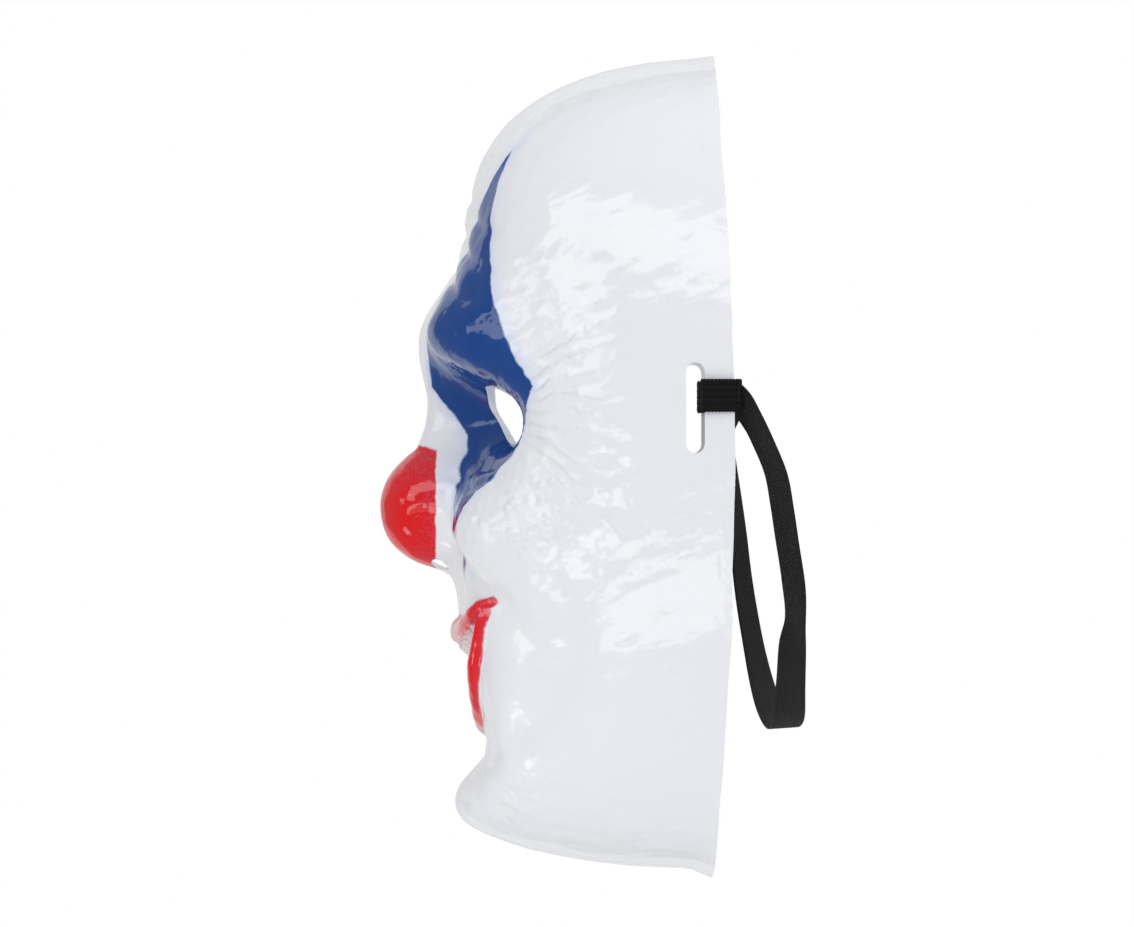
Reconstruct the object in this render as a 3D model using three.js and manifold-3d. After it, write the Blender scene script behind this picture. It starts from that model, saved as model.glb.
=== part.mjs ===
// A clown mask: a thin moulded face shell with eye holes, nostrils and two strap slots, and the flat
// elastic head strap that is looped through the slots. Millimetres, +Z up. The face looks along -Y,
// the wearer's left side is +X, and the origin is the middle of the rear opening.
import * as THREE from "three";
import { mergeVertices } from "three/addons/utils/BufferGeometryUtils.js";
import Module from "manifold-3d";

const wasm = await Module();
wasm.setup();

// Shell
const HALF_WIDTH = 86; // of the rim, at mid height
const HALF_HEIGHT = 126.5; // of the rim
const DEPTH = 79; // rim to the face, without the features
const WALL = 1.2;
const RIM_BOW = 6; // how far the top and bottom of the rim curve forward
const JAW_TAPER = 0.07; // share of the width lost towards the chin and gained towards the crown
const OUTLINE_POWER = 2.25; // superellipse power of the outline seen from the front
const SIDE_POWER = 3.1; // how squarely the face turns into its sides
const CROWN_POWER = 6.5; // how squarely it turns into the crown
const CHIN_POWER = 15; // how squarely it turns under the chin
const CHIN_LIP = 3; // flare of the rim under the chin
const CROWN_LIP = 0.8; // flare of the rim at the crown
const LIP_REACH = 4.5; // how far in front of the rim a flare starts
const LIP_HALF_WIDTH = 52; // half width of each flare

// Nose
const NOSE_RADIUS = 18.6;
const NOSE_PROUD = 31; // tip in front of the plain face
const NOSE_HEIGHT = -13.7; // of its centre
const NOSE_DRAFT = 3.2; // slope of the sides behind the ball
const NOSE_BLEND = 6; // fillet where the nose meets the face
const NOSTRIL_WIDTH = 6.6;
const NOSTRIL_DEPTH = 5.4;
const NOSTRIL_SPREAD = 7.2; // centre of each nostril from the middle
const NOSTRIL_SETBACK = 18.5; // centre behind the tip of the nose

// Eye holes
const EYE_WIDTH = 29;
const EYE_HEIGHT = 18;
const EYE_SPREAD = 33.5;
const EYE_LEVEL = 15;
const EYE_TILT = -8; // degrees, outer corner down

// Strap slots, in the flat sides of the shell
const SLOT_LENGTH = 28;
const SLOT_WIDTH = 5.8;
const SLOT_LEVEL = 17.2; // middle of the slot
const SLOT_STRIP = 9.4; // strip of shell between the slot and the rim's rearmost point

// Strap
const STRAP_WIDTH = 10;
const STRAP_THICKNESS = 1;
const STRAP_LEVEL = 21; // middle of the strap in its slot
const STRAP_CLEARANCE = 0.4; // between the strap and the shell that it wraps
const STRAP_DROP = 103; // lowest point of the strap's middle line below STRAP_LEVEL
const STRAP_SWING = 19; // how far the loop stands behind the rim
const TAB_OVERLAP = 1.6; // sewn end of the tab behind the rim
const ANCHOR_UPRIGHT = 0.6; // how upright the band still is where it leaves an anchor, 0 to 1
const ANCHOR_REACH = 8; // length over which it turns square to its route
const STRAP_STEPS = 64;
const TAB_STEPS = 12;

// Grid of the shell
const COLUMNS = 36;
const ROWS = 44;
const SOONEST = 0.022; // share of the half grid between the rim and the first line inside it

// Raised and hollow forms of the face. x, reachX: shares of the half width; z, reachZ: shares of the half
// height; rise: share of the depth; tilt: degrees, on the wearer's left; pair: repeated on the right.
const FORMS = [
  { name: "forehead", x: 0, z: 0.56, reachX: 0.55, reachZ: 0.26, rise: 0.045, tilt: 0 },
  { name: "brow", x: 0.29, z: 0.31, reachX: 0.28, reachZ: 0.14, rise: 0.185, tilt: -9, pair: true },
  { name: "between_brows", x: 0, z: 0.27, reachX: 0.15, reachZ: 0.13, rise: 0.035, tilt: 0 },
  { name: "eye_socket", x: 0.395, z: 0.115, reachX: 0.205, reachZ: 0.096, rise: -0.215, tilt: -6, pair: true },
  { name: "nose_bridge", x: 0, z: 0.06, reachX: 0.135, reachZ: 0.24, rise: 0.185, tilt: 0 },
  { name: "nose_root", x: 0, z: -0.105, reachX: 0.29, reachZ: 0.155, rise: 0.16, tilt: 0 },
  { name: "cheek", x: 0.53, z: -0.155, reachX: 0.25, reachZ: 0.13, rise: 0.115, tilt: -16, pair: true },
  { name: "muzzle", x: 0, z: -0.44, reachX: 0.48, reachZ: 0.2, rise: 0.08, tilt: 0 },
  { name: "lower_face", x: 0, z: -0.66, reachX: 0.62, reachZ: 0.2, rise: -0.085, tilt: 0 },
  { name: "chin_fold", x: 0, z: -0.715, reachX: 0.28, reachZ: 0.05, rise: -0.04, tilt: 0 },
  { name: "chin", x: 0, z: -0.85, reachX: 0.32, reachZ: 0.135, rise: 0.12, tilt: 0 },
  { name: "temple", x: 0.8, z: 0.36, reachX: 0.2, reachZ: 0.22, rise: -0.05, tilt: 0, pair: true },
  { name: "hollow_cheek", x: 0.76, z: -0.5, reachX: 0.2, reachZ: 0.2, rise: -0.05, tilt: 0, pair: true },
];

// Mouth, as shares: half of the half width, the levels and lips of the half height, the reliefs of the depth
const MOUTH = {
  half: 0.6,
  corner: -0.325,
  top: -0.385,
  bottom: -0.675,
  bow: 0.014,
  upperLip: 0.06,
  lowerLip: 0.066,
  lipRise: 0.038,
  recess: 0.045,
  bite: 0.56, // share of the way down from the upper lip to the lower lip
};
// Rows of teeth. count: on each side of the middle; step: degrees round the arc; gapTop, gapBottom: shares of
// the mouth's own height left free above and below the row.
const TEETH = [
  { name: "upper", count: 6, step: 8.2, upper: true, gapTop: 0.03, gapBottom: 0.04 },
  { name: "lower", count: 5, step: 7.2, upper: false, gapTop: 0.06, gapBottom: 0.04 },
];
const TOOTH_ARC = 0.7; // radius of the arc of teeth, share of the half width
const TOOTH_FILL = 0.46; // half width of a tooth, share of its step
const TOOTH_RISE = 3;
const TOOTH_SIDES = 10;
const LIP_STEPS = 26;
const SMILE_FOLD = { reachX: 0.73, reachZ: 0.316, level: -0.49, depth: 0.025, width: 0.025 };

// Route of the strap from its anchor on the wearer's left to the one on the right. x: share of an anchor's
// distance from the middle; back: share of STRAP_SWING; down: share of STRAP_DROP; turn: degrees that the band
// is turned about its own line from facing straight out.
const STRAP_ROUTE = [
  { x: 1, back: -0.107, down: 0, turn: 0 },
  { x: 0.998, back: 0.09, down: 0.038, turn: 36 },
  { x: 0.99, back: 0.263, down: 0.088, turn: 46 },
  { x: 0.98, back: 0.417, down: 0.147, turn: 46 },
  { x: 0.96, back: 0.61, down: 0.235, turn: 44 },
  { x: 0.925, back: 0.71, down: 0.333, turn: 43 },
  { x: 0.885, back: 0.79, down: 0.43, turn: 42 },
  { x: 0.8, back: 0.905, down: 0.568, turn: 42 },
  { x: 0.69, back: 0.935, down: 0.69, turn: 52 },
  { x: 0.61, back: 0.895, down: 0.76, turn: 34 },
  { x: 0.44, back: 0.875, down: 0.87, turn: 26 },
  { x: 0.22, back: 0.85, down: 0.965, turn: 8 },
  { x: -0.02, back: 0.765, down: 1, turn: -4 },
  { x: -0.26, back: 0.625, down: 0.965, turn: 4 },
  { x: -0.48, back: 0.465, down: 0.885, turn: 26 },
  { x: -0.65, back: 0.325, down: 0.77, turn: 40 },
  { x: -0.78, back: 0.205, down: 0.645, turn: 46 },
  { x: -0.865, back: 0.115, down: 0.52, turn: 52 },
  { x: -0.905, back: 0.056, down: 0.39, turn: 60 },
  { x: -0.918, back: 0, down: 0.3, turn: 64 },
  { x: -0.925, back: -0.073, down: 0.2, turn: 67 },
  { x: -0.932, back: -0.154, down: 0.096, turn: 64 },
  { x: -0.985, back: -0.107, down: 0.05, turn: 40 },
  { x: -1, back: -0.107, down: 0, turn: 0 },
];

const SHELL_COLOUR = 0xe9eaee;
const STRAP_COLOUR = 0x1c1c1c;

function smoothStep(from, to, value) {
  const t = Math.min(Math.max((value - from) / (to - from), 0), 1);
  return t * t * (3 - 2 * t);
}

function smoothMax(a, b, blend) {
  const t = Math.min(Math.max(0.5 + (0.5 * (b - a)) / blend, 0), 1);
  return a * (1 - t) + b * t + blend * t * (1 - t);
}

function bell(value, width) {
  return Math.exp(-((value / width) ** 2));
}

// Forward height of the plain dome over the rim, and how near the outline the point is (1 on it)
function dome(x, z) {
  const across = Math.abs(x) / (HALF_WIDTH * (1 + (JAW_TAPER * z) / HALF_HEIGHT));
  const up = Math.abs(z) / HALF_HEIGHT;
  const nearness = (across ** OUTLINE_POWER + up ** OUTLINE_POWER) ** (1 / OUTLINE_POWER);
  const upShare = up ** 2 / Math.max(across ** 2 + up ** 2, 1e-12);
  const endPower = CHIN_POWER + (CROWN_POWER - CHIN_POWER) * smoothStep(-0.3, 0.3, z / HALF_HEIGHT);
  const power = SIDE_POWER + (endPower - SIDE_POWER) * upShare;
  const height = DEPTH * Math.sqrt(Math.max(1 - Math.min(nearness, 1) ** power, 0));
  return { height, nearness };
}

function formHeight(x, z, form) {
  const cos = Math.cos(THREE.MathUtils.degToRad(form.tilt));
  const sin = Math.sin(THREE.MathUtils.degToRad(form.tilt));
  let sum = 0;
  for (const side of form.pair ? [1, -1] : [1]) {
    const dx = x * side - form.x * HALF_WIDTH;
    const dz = z - form.z * HALF_HEIGHT;
    const along = (dx * cos + dz * sin) / (form.reachX * HALF_WIDTH);
    const aside = (-dx * sin + dz * cos) / (form.reachZ * HALF_HEIGHT);
    sum += Math.exp(-(along ** 2 + aside ** 2));
  }
  return form.rise * DEPTH * sum;
}

function noseHeight(x, z) {
  const r = Math.hypot(x, z - NOSE_HEIGHT);
  const knee = (NOSE_RADIUS * NOSE_DRAFT) / Math.hypot(1, NOSE_DRAFT);
  const ball = Math.sqrt(NOSE_RADIUS ** 2 - Math.min(r, knee) ** 2);
  return DEPTH + NOSE_PROUD - NOSE_RADIUS + ball - NOSE_DRAFT * Math.max(r - knee, 0);
}

// Levels of the lips' edges and of the bite at a distance x from the middle
function mouthLevels(x) {
  const s = Math.min(Math.abs(x) / (MOUTH.half * HALF_WIDTH), 1);
  const closing = 0.25 + 0.75 * Math.sqrt(1 - s ** 6);
  const top = MOUTH.corner + (MOUTH.top - MOUTH.corner) * (1 - s ** 2);
  const sag = MOUTH.bottom - MOUTH.corner + MOUTH.upperLip / 2;
  const bottom = MOUTH.corner - MOUTH.upperLip / 2 + sag * (1 - s ** 2.4) ** 0.8;
  const levels = {
    upperOuter: top + MOUTH.bow * bell(s - 0.16, 0.11),
    upperInner: top - MOUTH.upperLip * closing,
    lowerInner: bottom + MOUTH.lowerLip * closing,
    lowerOuter: bottom,
  };
  levels.bite = levels.upperInner + (levels.lowerInner - levels.upperInner) * MOUTH.bite;
  for (const key of Object.keys(levels)) levels[key] *= HALF_HEIGHT;
  return levels;
}

// The hollow that holds the teeth. The lips and the teeth are solids of their own, fused to the wall.
function mouthHollow(x, z) {
  const m = mouthLevels(x);
  const within = 1 - smoothStep(0.9, 1.05, Math.abs(x) / (MOUTH.half * HALF_WIDTH));
  const inside = Math.min(m.upperInner - z, z - m.lowerInner) / HALF_HEIGHT;
  return -MOUTH.recess * DEPTH * smoothStep(-0.045, 0.045, inside) * within;
}

function smileFold(x, z) {
  const reach = Math.hypot(
    x / (SMILE_FOLD.reachX * HALF_WIDTH),
    (z - SMILE_FOLD.level * HALF_HEIGHT) / (SMILE_FOLD.reachZ * HALF_HEIGHT),
  );
  const away = (reach - 1) * SMILE_FOLD.reachZ;
  const fade =
    smoothStep(0.16, 0.3, Math.abs(x) / HALF_WIDTH) * smoothStep(-0.79, -0.57, z / HALF_HEIGHT);
  return -SMILE_FOLD.depth * DEPTH * bell(away, SMILE_FOLD.width) * fade;
}

// Forward height of the moulded face over the rim
function faceHeight(x, z) {
  const plain = dome(x, z);
  let relief = 0;
  for (const form of FORMS) relief += formHeight(x, z, form);
  const edge = 1 - smoothStep(0.88, 1, plain.nearness);
  const face = smoothMax(plain.height + relief * edge, noseHeight(x, z), NOSE_BLEND);
  return face + mouthHollow(x, z) + smileFold(x, z);
}

function rimAt(z) {
  return -RIM_BOW * (z / HALF_HEIGHT) ** 2;
}

function surfacePoint(x, z) {
  return new THREE.Vector3(x, rimAt(z) - faceHeight(x, z), z);
}

// The outer face of the shell's side at a level z and a distance behind or in front of the rim
function sideAt(y, z) {
  let inside = 0.5 * HALF_WIDTH;
  let outside = 1.2 * HALF_WIDTH;
  for (let i = 0; i < 50; i++) {
    const middle = (inside + outside) / 2;
    if (faceHeight(middle, z) > rimAt(z) - y) inside = middle;
    else outside = middle;
  }
  return inside;
}

// Lines from -1 to 1 that crowd together round a centre, with one more just inside each edge
function gridLines(count, centre, reach, crowding) {
  const samples = 800;
  const totals = [0];
  for (let i = 1; i <= samples; i++) {
    const t = (2 * (i - 0.5)) / samples - 1;
    totals.push(totals[i - 1] + 1 + crowding * Math.exp(-(((t - centre) / reach) ** 4)));
  }
  const lines = [-1, -1 + SOONEST];
  const inner = count - 2;
  let i = 0;
  for (let k = 1; k < inner; k++) {
    const wanted = (totals[samples] * k) / inner;
    while (totals[i + 1] < wanted) i++;
    const part = (wanted - totals[i]) / (totals[i + 1] - totals[i]);
    lines.push((2 * (i + part)) / samples - 1);
  }
  lines.push(1 - SOONEST, 1);
  return lines;
}

// From the square grid to the outline: x and z in the front view
function frontPoint(u, v) {
  const a = u * Math.sqrt(1 - (v * v) / 2);
  const b = v * Math.sqrt(1 - (u * u) / 2);
  const q = Math.min(Math.hypot(a, b), 1);
  if (q < 1e-9) return { x: 0, z: 0 };
  const cos = a / q;
  const sin = b / q;
  const power = OUTLINE_POWER;
  const radius = (Math.abs(cos) ** power + Math.abs(sin) ** power) ** (-1 / power);
  const reach = Math.sin((q * Math.PI) / 2) * radius;
  const z = reach * sin * HALF_HEIGHT;
  const x = reach * cos * HALF_WIDTH * (1 + (JAW_TAPER * z) / HALF_HEIGHT);
  return { x, z };
}

// Turns the rim outwards a little at the crown and under the chin
function flare(point) {
  const inFront = rimAt(point.z) - point.y;
  const share = bell(inFront, LIP_REACH) * bell(point.x, LIP_HALF_WIDTH) ** 2;
  const ends = smoothStep(0.5, 0.9, Math.abs(point.z) / HALF_HEIGHT);
  point.z += (point.z > 0 ? CROWN_LIP : -CHIN_LIP) * share * ends;
}

function shellSkin() {
  const us = gridLines(COLUMNS, 0, 0.62, 0.9);
  const vs = gridLines(ROWS, -0.15, 0.62, 0.8);
  const outer = vs.map((v) =>
    us.map((u) => {
      const front = frontPoint(u, v);
      const edge = Math.abs(u) === 1 || Math.abs(v) === 1;
      const point = surfacePoint(front.x, front.z);
      if (edge) point.y = rimAt(front.z);
      return point;
    }),
  );
  const last = { i: vs.length - 1, j: us.length - 1 };
  const at = (i, j) => outer[Math.min(Math.max(i, 0), last.i)][Math.min(Math.max(j, 0), last.j)];
  const inner = outer.map((row, i) =>
    row.map((point, j) => {
      const edge = i === 0 || j === 0 || i === last.i || j === last.j;
      const normal = edge
        ? rimNormal(at, i, j, last)
        : new THREE.Vector3().crossVectors(
            at(i, j + 1).clone().sub(at(i, j - 1)),
            at(i + 1, j).clone().sub(at(i - 1, j)),
          );
      return point.clone().addScaledVector(normal.normalize(), -WALL);
    }),
  );
  outer.flat().forEach(flare);
  inner.flat().forEach(flare);
  return { outer, inner };
}

// Outward normal of the outline at a point of the grid's edge, in the plane of the rim
function rimNormal(at, i, j, last) {
  const onRow = i === 0 || i === last.i;
  const onColumn = j === 0 || j === last.j;
  const before = onRow ? at(i, j - 1) : at(i - 1, j);
  const after = onRow ? at(i, j + 1) : at(i + 1, j);
  const along = after.clone().sub(before);
  const normal = new THREE.Vector3(along.z, 0, -along.x);
  const out = new THREE.Vector3(at(i, j).x, 0, at(i, j).z);
  if (onRow && onColumn) return out;
  return normal.dot(out) > 0 ? normal : normal.negate();
}

function geometryOf(points, triangles) {
  const geometry = new THREE.BufferGeometry();
  geometry.setAttribute(
    "position",
    new THREE.Float32BufferAttribute(points.flatMap((p) => [p.x, p.y, p.z]), 3),
  );
  geometry.setIndex(triangles);
  return geometry;
}

function solidOf(geometry) {
  const plain = geometry.clone();
  plain.deleteAttribute("normal");
  plain.deleteAttribute("uv");
  const merged = mergeVertices(plain, 1e-4);
  const mesh = new wasm.Mesh({
    numProp: 3,
    vertProperties: merged.attributes.position.array,
    triVerts: new Uint32Array(merged.index.array),
  });
  return new wasm.Manifold(mesh);
}

function geometryFrom(solid) {
  const mesh = solid.getMesh();
  const geometry = new THREE.BufferGeometry();
  geometry.setAttribute("position", new THREE.BufferAttribute(mesh.vertProperties, 3));
  geometry.setIndex(new THREE.BufferAttribute(mesh.triVerts, 1));
  return geometry;
}

function shellWall({ outer, inner }) {
  const rows = outer.length;
  const columns = outer[0].length;
  const points = [...outer.flat(), ...inner.flat()];
  const out = (i, j) => i * columns + j;
  const into = (i, j) => rows * columns + i * columns + j;
  const skin = [];
  const triangles = [];
  const quad = (a, b, c, d) => triangles.push(a, b, c, a, c, d);
  for (let i = 0; i + 1 < rows; i++)
    for (let j = 0; j + 1 < columns; j++) {
      // The shorter diagonal follows the creases
      const straight = outer[i][j].distanceTo(outer[i + 1][j + 1]);
      const crossed = outer[i + 1][j].distanceTo(outer[i][j + 1]);
      const corners =
        straight < crossed
          ? [[i, j], [i, j + 1], [i + 1, j + 1], [i + 1, j]]
          : [[i, j + 1], [i + 1, j + 1], [i + 1, j], [i, j]];
      const [a, b, c, d] = corners;
      skin.push(out(...a), out(...b), out(...c), out(...a), out(...c), out(...d));
      quad(into(...c), into(...b), into(...a), into(...d));
    }
  triangles.push(...skin);
  for (let j = 0; j + 1 < columns; j++) {
    quad(out(0, j + 1), out(0, j), into(0, j), into(0, j + 1));
    quad(out(rows - 1, j), out(rows - 1, j + 1), into(rows - 1, j + 1), into(rows - 1, j));
  }
  for (let i = 0; i + 1 < rows; i++) {
    quad(out(i, 0), out(i + 1, 0), into(i + 1, 0), into(i, 0));
    quad(out(i + 1, columns - 1), out(i, columns - 1), into(i, columns - 1), into(i + 1, columns - 1));
  }
  const front = new THREE.Mesh(geometryOf(points, skin), new THREE.MeshBasicMaterial());
  return { solid: solidOf(geometryOf(points, triangles)), front };
}

// The point of the shell's outer skin straight behind a point of the front view
function seatOn(front, x, z) {
  const ray = new THREE.Raycaster(new THREE.Vector3(x, -2 * DEPTH, z), new THREE.Vector3(0, 1, 0));
  return ray.intersectObject(front)[0].point;
}

function seatNormal(front, x, z, stepX, stepZ) {
  const across = seatOn(front, x + stepX, z).sub(seatOn(front, x - stepX, z));
  const up = seatOn(front, x, z + stepZ).sub(seatOn(front, x, z - stepZ));
  return across.cross(up).normalize();
}

// A tooth is a low tapered pillow set into the wall, square to it
function tooth(front, x, z, halfWidth, halfHeight) {
  const depth = TOOTH_RISE + WALL / 2;
  const geometry = new THREE.CylinderGeometry(0.8, 1, depth, TOOTH_SIDES);
  geometry.translate(0, depth / 2 - WALL / 2, 0);
  const spots = geometry.attributes.position;
  for (let i = 0; i < spots.count; i++) {
    const angle = Math.atan2(spots.getZ(i), spots.getX(i));
    const stretch = (Math.cos(angle) ** 4 + Math.sin(angle) ** 4) ** -0.25;
    spots.setX(i, spots.getX(i) * stretch * halfWidth);
    spots.setZ(i, spots.getZ(i) * stretch * halfHeight);
  }
  const out = seatNormal(front, x, z, halfWidth * 0.8, halfHeight * 0.8);
  const turn = new THREE.Quaternion().setFromUnitVectors(new THREE.Vector3(0, 1, 0), out);
  geometry.applyQuaternion(turn);
  const seat = seatOn(front, x, z);
  geometry.translate(seat.x, seat.y, seat.z);
  return solidOf(geometry);
}

function teeth(front) {
  const arc = TOOTH_ARC * HALF_WIDTH;
  const made = [];
  for (const row of TEETH)
    for (let k = 0; k < row.count; k++) {
      const angle = THREE.MathUtils.degToRad(row.step * (k + 0.5));
      const x = arc * Math.sin(angle);
      const halfWidth = arc * THREE.MathUtils.degToRad(row.step) * Math.cos(angle) * TOOTH_FILL;
      const m = mouthLevels(x);
      const high = row.upper ? m.upperInner : m.bite;
      const low = row.upper ? m.bite : m.lowerInner;
      const mouthSpan = m.upperInner - m.lowerInner;
      const top = high - row.gapTop * mouthSpan;
      const bottom = low + row.gapBottom * mouthSpan;
      for (const side of [1, -1])
        made.push(tooth(front, x * side, (top + bottom) / 2, halfWidth, (top - bottom) / 2));
    }
  return made;
}

// A lip is a rounded bead along the mouth. The base of its section follows the skin, set well into the wall.
function lip(front, outerKey, innerKey) {
  const stations = [];
  for (let k = 0; k <= LIP_STEPS; k++) {
    const x = MOUTH.half * HALF_WIDTH * Math.sin((Math.PI / 2) * ((2 * k) / LIP_STEPS - 1));
    const m = mouthLevels(x);
    const level = (share) => m[outerKey] + (m[innerKey] - m[outerKey]) * share;
    const outer = seatOn(front, x, m[outerKey]);
    const inner = seatOn(front, x, m[innerKey]);
    const middle = seatOn(front, x, level(0.5));
    const across = inner.clone().sub(outer);
    const out = seatNormal(front, x, level(0.5), 2, Math.abs(m[outerKey] - m[innerKey]) / 2);
    const rise = MOUTH.lipRise * DEPTH;
    const chord = outer.clone().add(inner).multiplyScalar(0.5);
    const lift = Math.max(middle.clone().sub(chord).dot(out), 0);
    const sunk = (share) => seatOn(front, x, level(share)).addScaledVector(out, -0.7 * WALL);
    const raised = (share, height) =>
      outer.clone().addScaledVector(across, share).addScaledVector(out, lift + rise * height);
    stations.push([
      sunk(0),
      sunk(0.35),
      sunk(0.65),
      sunk(1),
      raised(0.97, 0.55),
      raised(0.72, 0.95),
      raised(0.4, 1),
      raised(0.12, 0.6),
    ]);
  }
  return loft(stations);
}

// Joins rings of equal point counts; the side is turned out by the sign of the volume
function loft(rings) {
  const count = rings[0].length;
  const points = rings.flat();
  const triangles = [];
  for (let i = 0; i + 1 < rings.length; i++)
    for (let k = 0; k < count; k++) {
      const next = (k + 1) % count;
      const [a, b, c, d] = [i * count + k, i * count + next, (i + 1) * count + next, (i + 1) * count + k];
      triangles.push(a, b, c, a, c, d);
    }
  const end = (rings.length - 1) * count;
  for (let k = 1; k + 1 < count; k++) {
    triangles.push(0, k + 1, k);
    triangles.push(end, end + k, end + k + 1);
  }
  const solid = solidOf(geometryOf(points, triangles));
  return solid.volume() > 0 ? solid : solidOf(geometryOf(points, triangles.reverse()));
}

function stadium(length, width) {
  const shape = new THREE.Shape();
  const straight = (length - width) / 2;
  shape.moveTo(width / 2, -straight);
  shape.lineTo(width / 2, straight);
  shape.absarc(0, straight, width / 2, 0, Math.PI, false);
  shape.lineTo(-width / 2, -straight);
  shape.absarc(0, -straight, width / 2, Math.PI, 2 * Math.PI, false);
  return shape;
}

// The slot through one side, cut straight along X. Its flat rear edge carries the strap.
function slotCutter(side) {
  const through = HALF_WIDTH * 0.4;
  const geometry = new THREE.ExtrudeGeometry(stadium(SLOT_LENGTH, SLOT_WIDTH), {
    depth: through,
    bevelEnabled: false,
    curveSegments: 6,
  });
  geometry.translate(0, 0, -through / 2);
  geometry.rotateY(Math.PI / 2); // the extrusion lies along X, the slot's width along Z
  geometry.rotateX(Math.PI / 2); // the slot's width lies along Y, its length along Z
  geometry.translate(side * HALF_WIDTH, -SLOT_STRIP - SLOT_WIDTH / 2, SLOT_LEVEL);
  return solidOf(geometry);
}

// An almond opening with rounded corners, cut along Y
function eyeCutter(side) {
  const shape = new THREE.Shape();
  const steps = 20;
  for (let k = 0; k < steps; k++) {
    const angle = (2 * Math.PI * k) / steps;
    const pinch = 0.82 + 0.18 * Math.sin(angle) ** 2;
    const x = (EYE_WIDTH / 2) * Math.cos(angle);
    const z = (EYE_HEIGHT / 2) * Math.sin(angle) * pinch;
    if (k === 0) shape.moveTo(x, z);
    else shape.lineTo(x, z);
  }
  const through = DEPTH;
  const geometry = new THREE.ExtrudeGeometry(shape, { depth: through, bevelEnabled: false });
  geometry.rotateZ(THREE.MathUtils.degToRad(side * EYE_TILT));
  geometry.rotateX(Math.PI / 2);
  geometry.translate(side * EYE_SPREAD, -DEPTH * 0.4, EYE_LEVEL);
  return solidOf(geometry);
}

// A short round cut up through the underside of the nose
function nostrilCutter(side) {
  const height = 10;
  const geometry = new THREE.CylinderGeometry(0.5, 0.5, height, 12);
  geometry.rotateX(Math.PI / 2);
  geometry.scale(NOSTRIL_WIDTH, NOSTRIL_DEPTH, 1);
  const back = -(DEPTH + NOSE_PROUD) + NOSTRIL_SETBACK;
  const level = NOSE_HEIGHT - NOSE_RADIUS + height / 2 - 4;
  geometry.translate(side * NOSTRIL_SPREAD, back, level);
  return solidOf(geometry);
}

function faceShell() {
  const { solid, front } = shellWall(shellSkin());
  const lips = [lip(front, "upperOuter", "upperInner"), lip(front, "lowerOuter", "lowerInner")];
  let shell = solid;
  for (const piece of [...lips, ...teeth(front)]) shell = shell.add(piece);
  for (const side of [1, -1])
    for (const cutter of [eyeCutter(side), nostrilCutter(side), slotCutter(side)])
      shell = shell.subtract(cutter);
  return shell;
}

// Sweeps the strap's flat section along stations that hold a middle point and the direction of its width
function sweepBand(stations) {
  const points = [];
  const triangles = [];
  const quad = (a, b, c, d) => triangles.push(a, b, c, a, c, d);
  stations.forEach(({ point, across }, i) => {
    const before = stations[Math.max(i - 1, 0)].point;
    const after = stations[Math.min(i + 1, stations.length - 1)].point;
    const along = after.clone().sub(before).normalize();
    const width = across.clone().addScaledVector(along, -across.dot(along)).normalize();
    const thick = new THREE.Vector3().crossVectors(along, width);
    for (const [w, t] of [[1, 1], [-1, 1], [-1, -1], [1, -1]])
      points.push(
        point
          .clone()
          .addScaledVector(width, (w * STRAP_WIDTH) / 2)
          .addScaledVector(thick, (t * STRAP_THICKNESS) / 2),
      );
    if (i > 0)
      for (let k = 0; k < 4; k++) {
        const next = (k + 1) % 4;
        quad(4 * (i - 1) + k, 4 * (i - 1) + next, 4 * i + next, 4 * i + k);
      }
  });
  const end = points.length - 4;
  quad(3, 2, 1, 0);
  quad(end, end + 1, end + 2, end + 3);
  return solidOf(geometryOf(points, triangles));
}

// Where the strap wraps the strip of shell behind a slot: levels of its middle line, on the wearer's left
function wrapSizes() {
  const outside = sideAt(-SLOT_STRIP / 2, STRAP_LEVEL);
  const stand = STRAP_CLEARANCE + STRAP_THICKNESS / 2;
  return {
    outer: outside + stand,
    inner: sideAt(-SLOT_STRIP, STRAP_LEVEL) - WALL - stand,
    front: -SLOT_STRIP - stand,
    corner: 0.9 * stand,
    rear: rimAt(STRAP_LEVEL) + STRAP_CLEARANCE,
  };
}

function bandStation(side, x, y, z = STRAP_LEVEL) {
  return { point: new THREE.Vector3(side * x, y, z), across: new THREE.Vector3(0, 0, 1) };
}

// The visible tab: from the turn in the slot, over the outside of the strip, to its end sewn on the strap
function strapTab(side) {
  const w = wrapSizes();
  const middle = (w.outer + w.inner) / 2;
  const stations = [bandStation(side, middle - 0.3 * w.corner, w.front)];
  const turn = 4;
  for (let k = 0; k <= turn; k++) {
    const angle = (Math.PI / 2) * (k / turn);
    const x = w.outer - w.corner + w.corner * Math.sin(angle);
    const y = w.front + w.corner - w.corner * Math.cos(angle);
    stations.push(bandStation(side, x, y));
  }
  const sewn = w.inner + STRAP_THICKNESS * 0.8;
  const slope = TAB_STEPS - turn;
  for (let k = 0; k <= slope; k++) {
    const share = k / slope;
    const y = w.rear - STRAP_CLEARANCE + share * (TAB_OVERLAP + STRAP_CLEARANCE);
    const x = w.outer + (sewn - w.outer) * smoothStep(0.1, 1, share);
    stations.push(bandStation(side, x, y));
  }
  return sweepBand(side > 0 ? stations : stations.reverse());
}

// Half turn through the slot and the run along the inside of the strip, up to the rim
function wrapStations(side) {
  const w = wrapSizes();
  const middle = (w.outer + w.inner) / 2;
  const stations = [bandStation(side, middle + 0.3 * w.corner, w.front)];
  const turn = 4;
  for (let k = 0; k <= turn; k++) {
    const angle = (Math.PI / 2) * (k / turn);
    const x = w.inner + w.corner - w.corner * Math.sin(angle);
    const y = w.front + w.corner - w.corner * Math.cos(angle);
    stations.push(bandStation(side, x, y));
  }
  stations.push(bandStation(side, w.inner, w.rear + TAB_OVERLAP / 2));
  return stations;
}

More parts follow.
